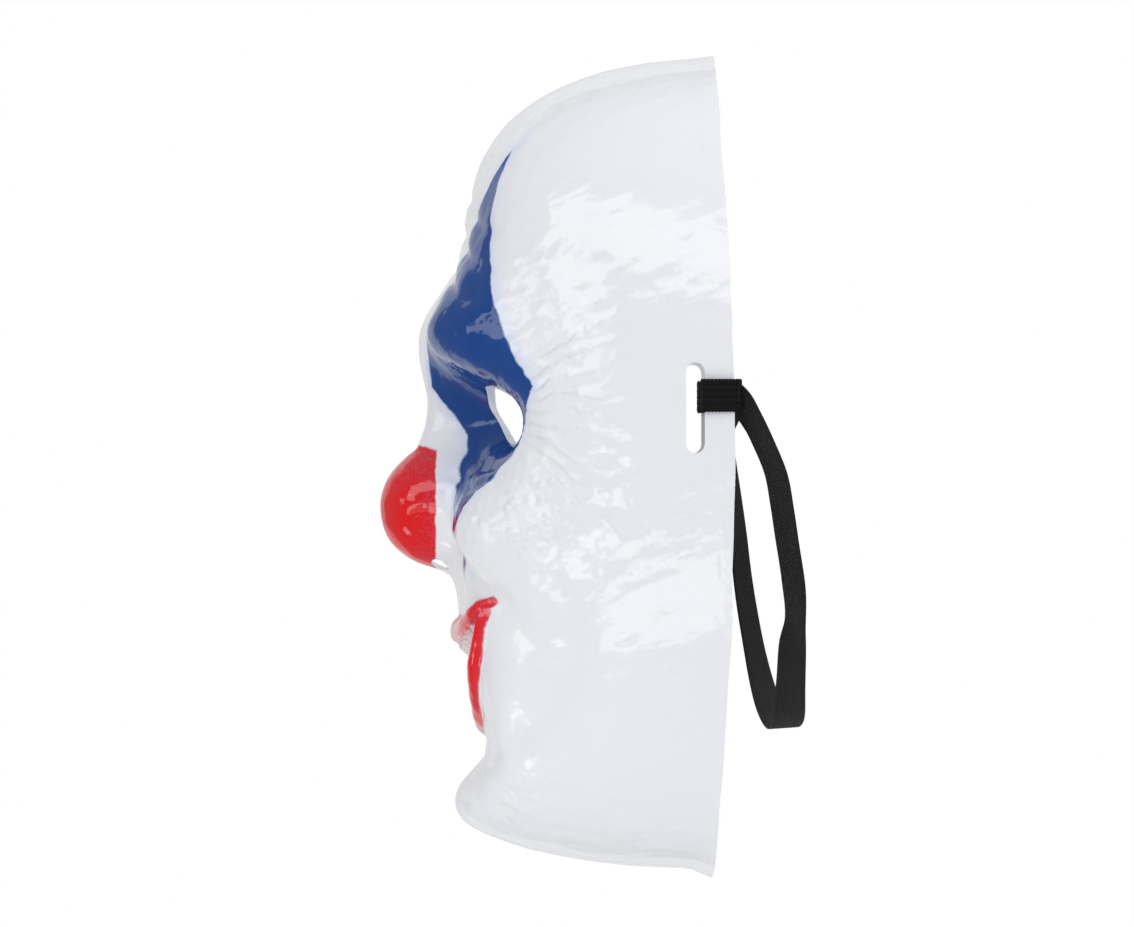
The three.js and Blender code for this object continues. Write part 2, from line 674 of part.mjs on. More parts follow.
// The hanging loop between the rims. Its face looks away from the middle of the line between the slots,
// so its width turns from upright at the slots to level at the bottom.
function routeStations() {
  const w = wrapSizes();
  const start = w.rear + TAB_OVERLAP / 2;
  const points = STRAP_ROUTE.map(
    (s) => new THREE.Vector3(s.x * w.inner, start + s.back * STRAP_SWING, STRAP_LEVEL - s.down * STRAP_DROP),
  );
  const curve = new THREE.CatmullRomCurve3(points, false, "centripetal");
  const turns = STRAP_ROUTE.map((s) => s.turn);
  const stepLength = curve.getLength() / STRAP_STEPS;
  const stations = [];
  for (let k = 0; k <= STRAP_STEPS; k++) {
    const share = curve.getUtoTmapping(k / STRAP_STEPS);
    const point = curve.getPoint(share);
    const along = curve.getTangent(share);
    const spot = share * (turns.length - 1);
    const before = Math.min(Math.floor(spot), turns.length - 2);
    const turn = turns[before] + (turns[before + 1] - turns[before]) * (spot - before);
    const face = new THREE.Vector3(point.x, 0, point.z - STRAP_LEVEL);
    const across = face.cross(along).normalize().applyAxisAngle(along, THREE.MathUtils.degToRad(turn));
    const fromEnd = Math.min(k, STRAP_STEPS - k) * stepLength;
    const upright = ANCHOR_UPRIGHT * (1 - smoothStep(0, ANCHOR_REACH, fromEnd));
    stations.push({ point, across: across.lerp(new THREE.Vector3(0, 0, 1), upright).normalize() });
  }
  return stations;
}

function elasticStrap() {
  const route = routeStations();
  const left = wrapStations(1);
  const right = wrapStations(-1).reverse();
  const belt = sweepBand([...left.slice(0, -1), ...route, ...right.slice(1)]);
  return belt.add(strapTab(1)).add(strapTab(-1));
}

function meshOf(name, solid, colour, roughness) {
  const material = new THREE.MeshStandardMaterial({ color: colour, roughness, metalness: 0 });
  const mesh = new THREE.Mesh(geometryFrom(solid), material);
  mesh.name = name;
  return mesh;
}

const mask = new THREE.Group();
mask.add(meshOf("mask_shell", faceShell(), SHELL_COLOUR, 0.2));
mask.add(meshOf("elastic_strap", elasticStrap(), STRAP_COLOUR, 0.85));

export default mask;
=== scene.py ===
"""The looks of a clown mask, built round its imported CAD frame: a glossy painted face shell and a black
elastic strap, in a plain white studio. Metres, +Z up, the face looks along -Y."""

import math

import bpy
import numpy as np
from bpy.props import FloatProperty, FloatVectorProperty, IntProperty, PointerProperty
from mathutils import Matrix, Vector


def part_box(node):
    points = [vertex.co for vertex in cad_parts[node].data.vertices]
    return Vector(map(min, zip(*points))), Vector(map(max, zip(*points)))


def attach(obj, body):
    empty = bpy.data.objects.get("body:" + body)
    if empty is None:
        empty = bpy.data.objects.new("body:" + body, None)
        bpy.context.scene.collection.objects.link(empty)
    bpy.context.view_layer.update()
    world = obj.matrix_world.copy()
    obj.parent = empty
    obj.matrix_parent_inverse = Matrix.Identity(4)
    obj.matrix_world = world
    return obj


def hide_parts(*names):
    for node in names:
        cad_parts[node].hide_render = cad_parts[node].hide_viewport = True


bl_info = {
    "name": "Clown mask",
    "version": (1, 0, 0),
    "blender": (4, 5, 0),
    "location": "View3D > Sidebar > Mask",
    "description": "Builds the painted shell and the elastic strap of a clown mask round its frame",
    "category": "Object",
}

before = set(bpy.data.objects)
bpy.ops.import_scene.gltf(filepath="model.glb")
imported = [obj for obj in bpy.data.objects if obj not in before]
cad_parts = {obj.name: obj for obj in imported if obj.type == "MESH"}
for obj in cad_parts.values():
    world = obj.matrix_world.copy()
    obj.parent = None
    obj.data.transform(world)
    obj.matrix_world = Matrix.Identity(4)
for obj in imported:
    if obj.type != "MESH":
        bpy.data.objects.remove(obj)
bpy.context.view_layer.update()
SHELL_LOW, SHELL_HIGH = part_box("mask_shell")
STRAP_LOW, STRAP_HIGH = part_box("elastic_strap")

# Sizes that the frame settles, and the few that they are worked out with
CHIN_FLARE = 0.003
CROWN_FLARE = 0.0008
HALF_HEIGHT = (SHELL_HIGH.z - SHELL_LOW.z - CHIN_FLARE - CROWN_FLARE) / 2
NOSE_TIP = -SHELL_LOW.y
STRAP_WIDTH = 0.010
STRAP_THICKNESS = 0.001
STRAP_LEVEL = STRAP_HIGH.z - STRAP_WIDTH / 2
STRAP_DROP = STRAP_LEVEL - STRAP_LOW.z - STRAP_THICKNESS / 2

# Raised and hollow forms of the face. x, reach_x: shares of the half width; z, reach_z: shares of the half
# height; rise: share of the depth; tilt: degrees, on the wearer's left; pair: repeated on the right.
FORMS = [
    dict(name="forehead", x=0.0, z=0.56, reach_x=0.55, reach_z=0.26, rise=0.045, tilt=0, pair=False),
    dict(name="brow", x=0.29, z=0.31, reach_x=0.28, reach_z=0.14, rise=0.185, tilt=-9, pair=True),
    dict(name="between_brows", x=0.0, z=0.27, reach_x=0.15, reach_z=0.13, rise=0.035, tilt=0, pair=False),
    dict(name="eye_socket", x=0.395, z=0.115, reach_x=0.205, reach_z=0.096, rise=-0.215, tilt=-6, pair=True),
    dict(name="nose_bridge", x=0.0, z=0.06, reach_x=0.135, reach_z=0.24, rise=0.185, tilt=0, pair=False),
    dict(name="nose_root", x=0.0, z=-0.105, reach_x=0.29, reach_z=0.155, rise=0.16, tilt=0, pair=False),
    dict(name="cheek", x=0.53, z=-0.155, reach_x=0.25, reach_z=0.13, rise=0.115, tilt=-16, pair=True),
    dict(name="muzzle", x=0.0, z=-0.44, reach_x=0.48, reach_z=0.2, rise=0.08, tilt=0, pair=False),
    dict(name="lower_face", x=0.0, z=-0.66, reach_x=0.62, reach_z=0.2, rise=-0.085, tilt=0, pair=False),
    dict(name="chin_fold", x=0.0, z=-0.715, reach_x=0.28, reach_z=0.05, rise=-0.04, tilt=0, pair=False),
    dict(name="chin", x=0.0, z=-0.85, reach_x=0.32, reach_z=0.135, rise=0.12, tilt=0, pair=False),
    dict(name="temple", x=0.8, z=0.36, reach_x=0.2, reach_z=0.22, rise=-0.05, tilt=0, pair=True),
    dict(name="hollow_cheek", x=0.76, z=-0.5, reach_x=0.2, reach_z=0.2, rise=-0.05, tilt=0, pair=True),
]

# Mouth, as shares: half of the half width, levels, lips and edges of the half height, reliefs of the depth,
# bow_at, bow_width and fade of the mouth's half width, corner_lip, crests and crest_half of a lip's height
MOUTH = dict(
    half=0.6, corner=-0.325, top=-0.385, bottom=-0.675, bite=0.56, fade=(0.95, 1.04),
    bow=0.014, bow_at=0.16, bow_width=0.11, sag_power=2.4, sag_roundness=0.8,
    upper_lip=0.06, lower_lip=0.066, corner_lip=0.25, closing_power=6.0,
    lip_rise=0.038, upper_crest=0.42, lower_crest=0.45, crest_half=0.44,
    recess=0.052, recess_edge=(-0.006, 0.034), tooth_edge=(0, 0.012),
)
# Rows of teeth. step: degrees round the arc; gaps: shares of the mouth's height left above and below
TEETH = [
    dict(name="upper", count=6, step=8.2, upper=True, gap_top=-0.05, gap_bottom=0.05, lean=0.1),
    dict(name="lower", count=5, step=7.2, upper=False, gap_top=0.09, gap_bottom=-0.05, lean=-0.1),
]
# Form of one tooth. fill: half width as a share of its step; waist: how much narrower it is at its root
TOOTH = dict(fill=0.47, waist=0.1, side_power=3.2, end_power=3.6)

# Folds and lines of the skin, in metres and radians. x, y, z: where a fold's middle or its lines' source is;
# fade pairs: where a fold starts to show and shows in full, or where it starts to fade and is gone
SMILE_FOLD = dict(
    z=-0.062, reach_x=0.063, reach_z=0.04, depth=0.002, width=0.0032,
    fade_x=(0.014, 0.026), fade_z=(-0.1, -0.072),
)
CHEEK_FOLD = dict(
    y=-0.074, z=-0.057, radius=0.031, flatten=0.8, turn=0.15, reach_turn=0.75, fade_x=(0.052, 0.062),
    rise=0.0005, rise_width=0.005, groove=0.0004, groove_at=-0.006, groove_width=0.003,
)
CROWS_FEET = dict(
    x=0.043, y=-0.066, z=0.016, lean=0.6, fade_in=(0.007, 0.014), fade_out=(0.026, 0.058),
    fade_angle=(math.radians(46), math.radians(72)), lines=13, more_lines=110, swirl=40, wander=0.5,
    wavelength=0.03, seed=14, height=0.00028, thinning=0.003, longest=0.06, roundness=0.6, crest=1.4,
    groove=0.9,
)
# Furrows across the forehead, and the line that each follows
FURROWS = [dict(level=0.058, depth=0.0012), dict(level=0.068, depth=0.0010), dict(level=0.079, depth=0.0008)]
FURROW_LINE = dict(wave=0.0035, wave_reach=0.013, droop=2.2, width=0.002, fade_x=(0.034, 0.052))
# Folds under each eye, and the line that each follows. drop: below the first
EYE_FOLDS = [dict(drop=0.0, depth=0.0013), dict(drop=0.006, depth=0.0009)]
EYE_FOLD_LINE = dict(x=0.034, z=-0.0015, curve=18, width=0.0017, fade_x=(0.012, 0.019))

# Slow waves of the moulding, as shares of the waviness, and how far in front of the rim they grow
RIPPLES = [dict(share=0.75, wavelength=0.022, seed=5), dict(share=0.35, wavelength=0.009, seed=6)]
RIPPLE_GROWTH = (0.035, 0.075)
# Pebbled skin over the cheekbones and on the chin. low, high: where its waves are cut off, if they get there
PEBBLES = [
    dict(x=0.05, reach_x=0.019, z=-0.012, reach_z=0.017, wavelength=0.0045, seed=8, low=-0.3, high=1.2,
         height=0.0003),
    dict(x=0.024, reach_x=0.022, z=-0.102, reach_z=0.014, wavelength=0.008, seed=15, low=-9, high=9,
         height=0.00022),
]
# Short creases that rise back over the temples and the jaw
CREASES = dict(stretch=0.33, lean=0.4, wavelength=0.006, seed=9, fade_x=(0.045, 0.06), height=0.0001)
CREASE_BANDS = [dict(z=0.06, reach=0.04, share=1.0), dict(z=-0.045, reach=0.028, share=0.6)]
# The skin is smooth on the teeth and next to the rim
CALM_TEETH = (0.4, 0.9)
CALM_RIM = (0.0, 0.016)
# The trimmed rim is a little uneven
RIM_WOBBLE = dict(depth=0.0002, wavelength=0.03, seed=12, reach=0.008)

# Route of the strap from anchor to anchor, as in the frame. x: share of an anchor's distance from the
# middle; back: share of the swing; down: share of the drop; turn: degrees that the band is turned about
# its own line.
STRAP_ROUTE = [
    (1, -0.107, 0, 0),
    (0.998, 0.09, 0.038, 36),
    (0.99, 0.263, 0.088, 46),
    (0.98, 0.417, 0.147, 46),
    (0.96, 0.61, 0.235, 44),
    (0.925, 0.71, 0.333, 43),
    (0.885, 0.79, 0.43, 42),
    (0.8, 0.905, 0.568, 42),
    (0.69, 0.935, 0.69, 52),
    (0.61, 0.895, 0.76, 34),
    (0.44, 0.875, 0.87, 26),
    (0.22, 0.85, 0.965, 8),
    (-0.02, 0.765, 1, -4),
    (-0.26, 0.625, 0.965, 4),
    (-0.48, 0.465, 0.885, 26),
    (-0.65, 0.325, 0.77, 40),
    (-0.78, 0.205, 0.645, 46),
    (-0.865, 0.115, 0.52, 52),
    (-0.905, 0.056, 0.39, 60),
    (-0.918, 0, 0.3, 64),
    (-0.925, -0.073, 0.2, 67),
    (-0.932, -0.154, 0.096, 64),
    (-0.985, -0.107, 0.05, 40),
    (-1, -0.107, 0, 0),
]


def linear(red, green, blue):
    """A scene colour from the 0 to 255 values of a display colour."""
    shares = [value / 255 for value in (red, green, blue)]
    return tuple(s / 12.92 if s <= 0.04045 else ((s + 0.055) / 1.055) ** 2.4 for s in shares)


def length(name, description, default):
    return FloatProperty(name=name, description=description, default=default, unit="LENGTH", precision=5)


def number(name, description, default):
    return FloatProperty(name=name, description=description, default=default)


def colour(name, description, default):
    return FloatVectorProperty(name=name, description=description, default=default, size=3, subtype="COLOR",
                               min=0, max=1)


class MaskShellSettings(bpy.types.PropertyGroup):
    """Sizes of the moulded shell."""

    half_width: length("Half width", "Half the width of the rim at mid height", 0.086)
    half_height: length("Half height", "Half the height of the rim", HALF_HEIGHT)
    depth: length("Depth", "From the rim to the face, without the features", 0.079)
    wall: length("Wall", "Thickness of the plastic", 0.0012)
    rim_bow: length("Rim bow", "How far the rim's top and bottom curve forward", 0.006)
    jaw_taper: number("Jaw taper", "Share of the width lost towards the chin", 0.07)
    outline_power: number("Outline power", "Superellipse power of the front outline", 2.25)
    side_power: number("Side power", "How squarely the face turns into its sides", 3.1)
    crown_power: number("Crown power", "How squarely the face turns into its crown", 6.5)
    chin_power: number("Chin power", "How squarely the face turns under its chin", 15.0)
    flare_reach: length("Flare reach", "How far in front of the rim a flare starts", 0.0045)
    flare_half_width: length("Flare half width", "Half width of each flare of the rim", 0.052)
    nose_radius: length("Nose radius", "Radius of the ball nose", 0.0186)
    nose_height: length("Nose height", "Height of the nose's centre", -0.0137)
    nose_draft: number("Nose draft", "Slope of the nose's sides behind the ball", 3.2)
    nose_blend: length("Nose blend", "Fillet where the nose meets the face", 0.006)
    tooth_arc: number("Tooth arc", "Radius of the arc of teeth, share of the half width", 0.7)
    tooth_rise: length("Tooth rise", "How far a tooth stands out of the mouth's hollow", 0.0032)
    waviness: length("Waviness", "Height of the slow waves that moulding leaves in the plastic", 0.00013)
    columns: IntProperty(name="Columns", description="Cells across the face", default=260)
    rows: IntProperty(name="Rows", description="Cells up the face", default=296)


class MaskOpeningSettings(bpy.types.PropertyGroup):
    """Sizes of the holes in the shell."""

    eye_width: length("Eye width", "Width of an eye hole", 0.029)
    eye_height: length("Eye height", "Height of an eye hole", 0.018)
    eye_spread: length("Eye spread", "Centre of an eye hole from the middle", 0.0335)
    eye_level: length("Eye level", "Height of an eye hole's centre", 0.015)
    eye_tilt: FloatProperty(name="Eye tilt", description="Outer corner down", default=math.radians(8),
                            subtype="ANGLE")
    nostril_width: length("Nostril width", "Width of a nostril", 0.0066)
    nostril_depth: length("Nostril depth", "Length of a nostril from front to back", 0.0054)
    nostril_spread: length("Nostril spread", "Centre of a nostril from the middle", 0.0072)
    nostril_setback: length("Nostril setback", "Centre of a nostril behind the nose's tip", 0.0185)
    slot_length: length("Slot length", "Length of a strap slot", 0.028)
    slot_width: length("Slot width", "Width of a strap slot", 0.0058)
    slot_level: length("Slot level", "Height of a strap slot's centre", 0.0172)
    slot_strip: length("Slot strip", "Strip of shell between a slot and the rim", 0.0094)


class MaskStrapSettings(bpy.types.PropertyGroup):
    """Sizes of the elastic strap."""

    thickness: length("Thickness", "Thickness of the elastic", STRAP_THICKNESS)
    clearance: length("Clearance", "Between the strap and the shell it wraps", 0.0004)
    swing: length("Swing", "How far the loop stands behind the rim", 0.019)
    tab_overlap: length("Tab overlap", "Sewn end of the tab behind the rim", 0.0016)
    upright: number("Upright", "How upright the band still is where it leaves an anchor", 0.6)
    upright_reach: length("Upright reach", "Length over which it turns square to its route", 0.008)
    cords: IntProperty(name="Cords", description="Rubber cords across the width of the band", default=9)
    tab_ribs: IntProperty(name="Tab ribs", description="Ribs across the width of a tab", default=5)
    step: length("Step", "Length of one cell of the band's mesh", 0.0007)


class MaskColourSettings(bpy.types.PropertyGroup):
    """Colours of the mask and its strap."""

    white: colour("White", "Glossy white plastic", linear(228, 229, 233))
    inside: colour("Inside", "Unpainted plastic inside", linear(226, 228, 233))
    blue: colour("Blue", "Paint of the diamonds", linear(5, 60, 130))
    blue_thin: colour("Thin blue", "Where the blue paint is thin", linear(36, 84, 156))
    blue_mist: colour("Blue mist", "Overspray round the diamonds", linear(196, 207, 238))
    red: colour("Red", "Paint of the nose and lips", linear(214, 12, 20))
    red_thin: colour("Thin red", "Where the red paint is thin", linear(200, 72, 96))
    gum: colour("Gum", "Pink mist over the roots of the teeth", linear(214, 120, 140))
    tooth: colour("Tooth", "Off-white of the teeth", linear(224, 222, 222))
    mouth_shade: colour("Mouth shade", "Grey between the teeth", linear(138, 138, 144))
    elastic: colour("Elastic", "Black of the elastic", linear(24, 24, 24))
    # Painted shade: the tabs are the same elastic as the band, given this darker black
    folded: colour("Folded elastic", "Black of the folded and sewn tabs", linear(13, 13, 13))
    # Painted highlight: the tops of the elastic's yarns are painted lighter with this colour, for their
    # sheen
    yarn_painted_highlight: colour("Light elastic", "Worn tops of the elastic's yarns", linear(56, 56, 57))
    thread: colour("Thread", "Thread of the strap's seams", linear(52, 20, 24))


class MaskStudioSettings(bpy.types.PropertyGroup):
    """The camera, the lamps and the backdrop."""

    camera_distance: length("Camera distance", "From the middle of the mask to the camera", 6.5)
    frame_width: length("Frame width", "Width of the picture at the mask", 0.3544)
    aim_y: length("Aim along Y", "Middle of the picture, along the depth of the mask", -0.0519)
    aim_z: length("Aim along Z", "Middle of the picture, up the mask", 0.0)
    backdrop: length("Backdrop", "Radius of the round backdrop", 8.3)
    ambient: number("Ambient", "Strength of the even light from all round", 0.3)


SETTINGS = {
    "mask_shell": MaskShellSettings,
    "mask_openings": MaskOpeningSettings,
    "mask_strap": MaskStrapSettings,
    "mask_colours": MaskColourSettings,
    "mask_studio": MaskStudioSettings,
}


# Curves and fields shared by the pieces


def smooth_step(low, high, value):
    t = np.clip((value - low) / (high - low), 0, 1)
    return t * t * (3 - 2 * t)


def bell(value, width):
    return np.exp(-((value / width) ** 2))


def smooth_max(a, b, blend):
    t = np.clip(0.5 + 0.5 * (b - a) / blend, 0, 1)
    return a * (1 - t) + b * t + blend * t * (1 - t)


def unit(vectors):
    """Vectors of length 1 along the last axis."""
    return vectors / np.maximum(np.linalg.norm(vectors, axis=-1, keepdims=True), 1e-12)


def run_along(points):
    """Length of a polyline up to each of its points."""
    return np.concatenate([[0], np.cumsum(np.linalg.norm(np.diff(points, axis=0), axis=1))])


# How many cosines make a field of waves, how their lengths vary, and what brings their sum to about -1 to 1
WAVE_COUNT = 28
WAVE_SPREAD = (0.7, 1.5)
WAVE_PEAK = 1.4


def waves(points, wavelength, seed):
    """Smooth random waves with a mean wavelength, about -1 to 1, over points in space."""
    draw = np.random.default_rng(seed)
    directions = unit(draw.normal(size=(WAVE_COUNT, 3)))
    pitches = 2 * math.pi / (wavelength * draw.uniform(*WAVE_SPREAD, WAVE_COUNT))
    phases = draw.uniform(0, 2 * math.pi, WAVE_COUNT)
    total = np.zeros(points.shape[:-1])
    for direction, pitch, phase in zip(directions, pitches, phases):
        total += np.cos((points @ direction) * pitch + phase)
    return total * math.sqrt(2 / WAVE_COUNT) / WAVE_PEAK


def lip_levels(reach, sizes):
    """Levels of the lips' edges and of the bite. reach: share of the mouth's half width, as an array or as
    a value of a shader."""
    m = MOUTH
    closing = m["corner_lip"] + (1 - m["corner_lip"]) * (1 - reach ** m["closing_power"]) ** 0.5
    top = m["corner"] + (m["top"] - m["corner"]) * (1 - reach ** 2.0)
    lowest = m["corner"] - m["upper_lip"] / 2
    bottom = lowest + (m["bottom"] - lowest) * (1 - reach ** m["sag_power"]) ** m["sag_roundness"]
    bow = m["bow"] / math.e ** (((reach - m["bow_at"]) / m["bow_width"]) ** 2.0)
    levels = {
        "upper_outer": top + bow,
        "upper_inner": top - m["upper_lip"] * closing,
        "lower_inner": bottom + m["lower_lip"] * closing,
        "lower_outer": bottom,
    }
    opening = levels["lower_inner"] - levels["upper_inner"]
    levels["bite"] = levels["upper_inner"] + opening * m["bite"]
    return {name: level * sizes.half_height for name, level in levels.items()}


# Between these shares of the half height, the squareness of the chin's end gives way to the crown's
END_TURN = (-0.3, 0.3)
# The forms fade between these shares of the way to the rim, and a flare grows between these shares of the
# half height
FORMS_EDGE = (0.88, 1)
FLARE_ENDS = (0.5, 0.9)
# Where the side of the face is looked for, as shares of the half width, and how often that span is halved
SIDE_SPAN = (0.5, 1.2)
HALVINGS = 50


class Face:
    """The moulded face as a height in front of the rim, over the front view."""

    def __init__(self, sizes):
        self.s = sizes

    def rim(self, z):
        """Where the rim lies along Y."""
        return -self.s.rim_bow * (z / self.s.half_height) ** 2

    def dome(self, x, z):
        """Height of the plain dome of the face, and how near each point is to the rim, 0 to 1."""
        s = self.s
        across = np.abs(x) / (s.half_width * (1 + s.jaw_taper * z / s.half_height))
        up = np.abs(z) / s.half_height
        nearness = (across ** s.outline_power + up ** s.outline_power) ** (1 / s.outline_power)
        up_share = up ** 2 / np.maximum(across ** 2 + up ** 2, 1e-12)
        turn = smooth_step(*END_TURN, z / s.half_height)
        end_power = s.chin_power + (s.crown_power - s.chin_power) * turn
        power = s.side_power + (end_power - s.side_power) * up_share
        height = s.depth * np.sqrt(np.clip(1 - np.minimum(nearness, 1) ** power, 0, 1))
        return height, nearness

    def form_height(self, x, z, form):
        """Height that one raised or hollow form adds."""
        s = self.s
        tilt = math.radians(form["tilt"])
        total = 0
        for side in (1, -1) if form["pair"] else (1,):
            dx = x * side - form["x"] * s.half_width
            dz = z - form["z"] * s.half_height
            along = (dx * math.cos(tilt) + dz * math.sin(tilt)) / (form["reach_x"] * s.half_width)
            aside = (-dx * math.sin(tilt) + dz * math.cos(tilt)) / (form["reach_z"] * s.half_height)
            total = total + np.exp(-(along ** 2 + aside ** 2))
        return form["rise"] * s.depth * total

    def nose(self, x, z):
        """Height of the ball nose and of the sloping sides behind it."""
        s = self.s
        r = np.hypot(x, z - s.nose_height)
        knee = s.nose_radius * s.nose_draft / math.hypot(1, s.nose_draft)
        ball = np.sqrt(s.nose_radius ** 2 - np.minimum(r, knee) ** 2)
        return NOSE_TIP - s.nose_radius + ball - s.nose_draft * np.maximum(r - knee, 0)

    def mouth_levels(self, x):
        """Levels of the lips' edges and of the bite, at distances x from the middle."""
        return lip_levels(np.clip(np.abs(x) / (MOUTH["half"] * self.s.half_width), 0, 1), self.s)

    def teeth(self, x, z):
        """How much of a tooth stands at each point, 0 to 1."""
        s = self.s
        arc = s.tooth_arc * s.half_width
        most = np.zeros_like(x)
        for row in TEETH:
            for k in range(row["count"]):
                angle = math.radians(row["step"] * (k + 0.5))
                half_width = arc * math.radians(row["step"]) * math.cos(angle) * TOOTH["fill"]
                levels = self.mouth_levels(np.array(arc * math.sin(angle)))
                span = levels["upper_inner"] - levels["lower_inner"]
                high = levels["upper_inner"] if row["upper"] else levels["bite"]
                low = levels["bite"] if row["upper"] else levels["lower_inner"]
                top = high - row["gap_top"] * span
                bottom = low + row["gap_bottom"] * span
                middle, half_height = (top + bottom) / 2, (top - bottom) / 2
                for side in (1, -1):
                    dz = (z - middle) / half_height
                    dx = (x - side * arc * math.sin(angle) - side * row["lean"] * (z - middle)) / half_width
                    waist = 1 - TOOTH["waist"] * dz * (1 if row["upper"] else -1)
                    pillow = 1 - np.abs(dx / waist) ** TOOTH["side_power"] - np.abs(dz) ** TOOTH["end_power"]
                    most = np.maximum(most, np.sqrt(np.clip(pillow, 0, 1)))
        return most

    def mouth(self, x, z, teeth=True):
        """Relief of the lips and of the hollow between them, with or without its teeth."""
        s = self.s
        m = self.mouth_levels(x)
        within = 1 - smooth_step(*MOUTH["fade"], np.abs(x) / (MOUTH["half"] * s.half_width))
        upper = (z - m["upper_inner"]) / (m["upper_outer"] - m["upper_inner"])
        lower = (m["lower_inner"] - z) / (m["lower_inner"] - m["lower_outer"])
        lips = sum(
            np.exp(-(((share - crest) / MOUTH["crest_half"]) ** 4))
            for share, crest in ((upper, MOUTH["upper_crest"]), (lower, MOUTH["lower_crest"]))
        )
        inside = np.minimum(m["upper_inner"] - z, z - m["lower_inner"]) / s.half_height
        recess = MOUTH["recess"] * smooth_step(*MOUTH["recess_edge"], inside)
        height = s.depth * (MOUTH["lip_rise"] * lips - recess)
        if teeth:
            height = height + s.tooth_rise * self.teeth(x, z) * smooth_step(*MOUTH["tooth_edge"], inside)
        return height * within

    def smile_fold(self, x, z):
        """Groove round the mouth."""
        fold = SMILE_FOLD
        away = (np.hypot(x / fold["reach_x"], (z - fold["z"]) / fold["reach_z"]) - 1) * fold["reach_z"]
        fade = smooth_step(*fold["fade_x"], np.abs(x)) * smooth_step(*fold["fade_z"], z)
        return -fold["depth"] * bell(away, fold["width"]) * fade

    def cheek_fold(self, x, y, z):
        """Softer fold over the side of the cheek."""
        fold = CHEEK_FOLD
        dy, dz = y - fold["y"], z - fold["z"]
        away = np.hypot(dy, fold["flatten"] * dz) - fold["radius"]
        turn = np.arctan2(dz, dy) - fold["turn"]
        fade = bell(turn, fold["reach_turn"]) * smooth_step(*fold["fade_x"], np.abs(x))
        rise = fold["rise"] * bell(away, fold["rise_width"])
        groove = fold["groove"] * bell(away - fold["groove_at"], fold["groove_width"])
        return (rise - groove) * fade

    def crows_feet(self, spots):
        """Lines that fan out of the eye's outer corner and back over the temple."""
        x, y, z = np.moveaxis(spots, -1, 0)
        feet = CROWS_FEET
        dx = np.abs(x) - feet["x"] + feet["lean"] * np.maximum(y - feet["y"], 0)
        dz = z - feet["z"]
        r, angle = np.hypot(dx, dz), np.arctan2(dz, dx)
        fan = smooth_step(*feet["fade_in"], r) * (1 - smooth_step(*feet["fade_out"], r))
        fan = fan * (1 - smooth_step(*feet["fade_angle"], np.abs(angle)))
        wander = feet["wander"] * waves(spots, feet["wavelength"], feet["seed"])
        line = np.cos(angle * (feet["lines"] + feet["more_lines"] * r) + feet["swirl"] * r + wander)
        height = feet["height"] - feet["thinning"] * np.minimum(r, feet["longest"])
        return height * (np.abs(line) ** feet["roundness"] * feet["crest"] - feet["groove"]) * fan

    def wrinkles(self, spots):
        """Folds and lines over points of the face, outwards."""
        x, y, z = np.moveaxis(spots, -1, 0)
        ax = np.abs(x)
        total = self.smile_fold(x, z) + self.cheek_fold(x, y, z) + self.crows_feet(spots)
        path = FURROW_LINE
        for furrow in FURROWS:
            line = furrow["level"] + path["wave"] * np.cos(x / path["wave_reach"]) - path["droop"] * x ** 2
            fade = 1 - smooth_step(*path["fade_x"], ax)
            total = total - furrow["depth"] * bell(z - line, path["width"]) * fade
        path = EYE_FOLD_LINE
        for fold in EYE_FOLDS:
            line = path["z"] - fold["drop"] + path["curve"] * (ax - path["x"]) ** 2
            fade = 1 - smooth_step(*path["fade_x"], np.abs(ax - path["x"]))
            total = total - fold["depth"] * bell(z - line, path["width"]) * fade
        return total

    def plain(self, x, z):
        """The face without its mouth, teeth and wrinkles."""
        base, nearness = self.dome(x, z)
        relief = sum(self.form_height(x, z, form) for form in FORMS)
        edge = 1 - smooth_step(*FORMS_EDGE, nearness)
        return smooth_max(base + relief * edge, self.nose(x, z), self.s.nose_blend)

    def creases(self, spots):
        """Short creases over the temples and the jaw."""
        x, y, z = np.moveaxis(spots, -1, 0)
        c = CREASES
        leaning = np.stack([x, y * c["stretch"], z - c["lean"] * y], axis=-1)
        band = sum(row["share"] * bell(z - row["z"], row["reach"]) for row in CREASE_BANDS)
        fade = smooth_step(*c["fade_x"], np.abs(x))
        return waves(leaning, c["wavelength"], c["seed"]) * band * fade * c["height"]

    def pebbles(self, spots):
        """Pebbled skin over the cheekbones and on the chin."""
        x, _, z = np.moveaxis(spots, -1, 0)
        total = 0
        for patch in PEBBLES:
            share = bell(np.abs(x) - patch["x"], patch["reach_x"]) * bell(z - patch["z"], patch["reach_z"])
            bumps = np.clip(waves(spots, patch["wavelength"], patch["seed"]), patch["low"], patch["high"])
            total = total + bumps * share * patch["height"]
        return total

    def skin(self, spots):
        """Wrinkles, slow waves, pebbles and creases over points of the face, outwards."""
        x, y, z = np.moveaxis(spots, -1, 0)
        in_front = self.rim(z) - y
        calm = (1 - smooth_step(*CALM_TEETH, self.teeth(x, z))) * smooth_step(*CALM_RIM, in_front)
        ripple = sum(row["share"] * waves(spots, row["wavelength"], row["seed"]) for row in RIPPLES)
        ripple = ripple * (1 + smooth_step(*RIPPLE_GROWTH, in_front))
        moulding = self.s.waviness * ripple + self.creases(spots)
        return self.wrinkles(spots) + calm * moulding + self.pebbles(spots)

    def side_at(self, y, z):
        """Half width of the outer face at one level and one distance from the rim."""
        low, high = (share * self.s.half_width for share in SIDE_SPAN)
        for _ in range(HALVINGS):
            middle = (low + high) / 2
            if self.plain(np.array(middle), np.array(z)) > self.rim(z) - y:
                low = middle
            else:
                high = middle
        return low

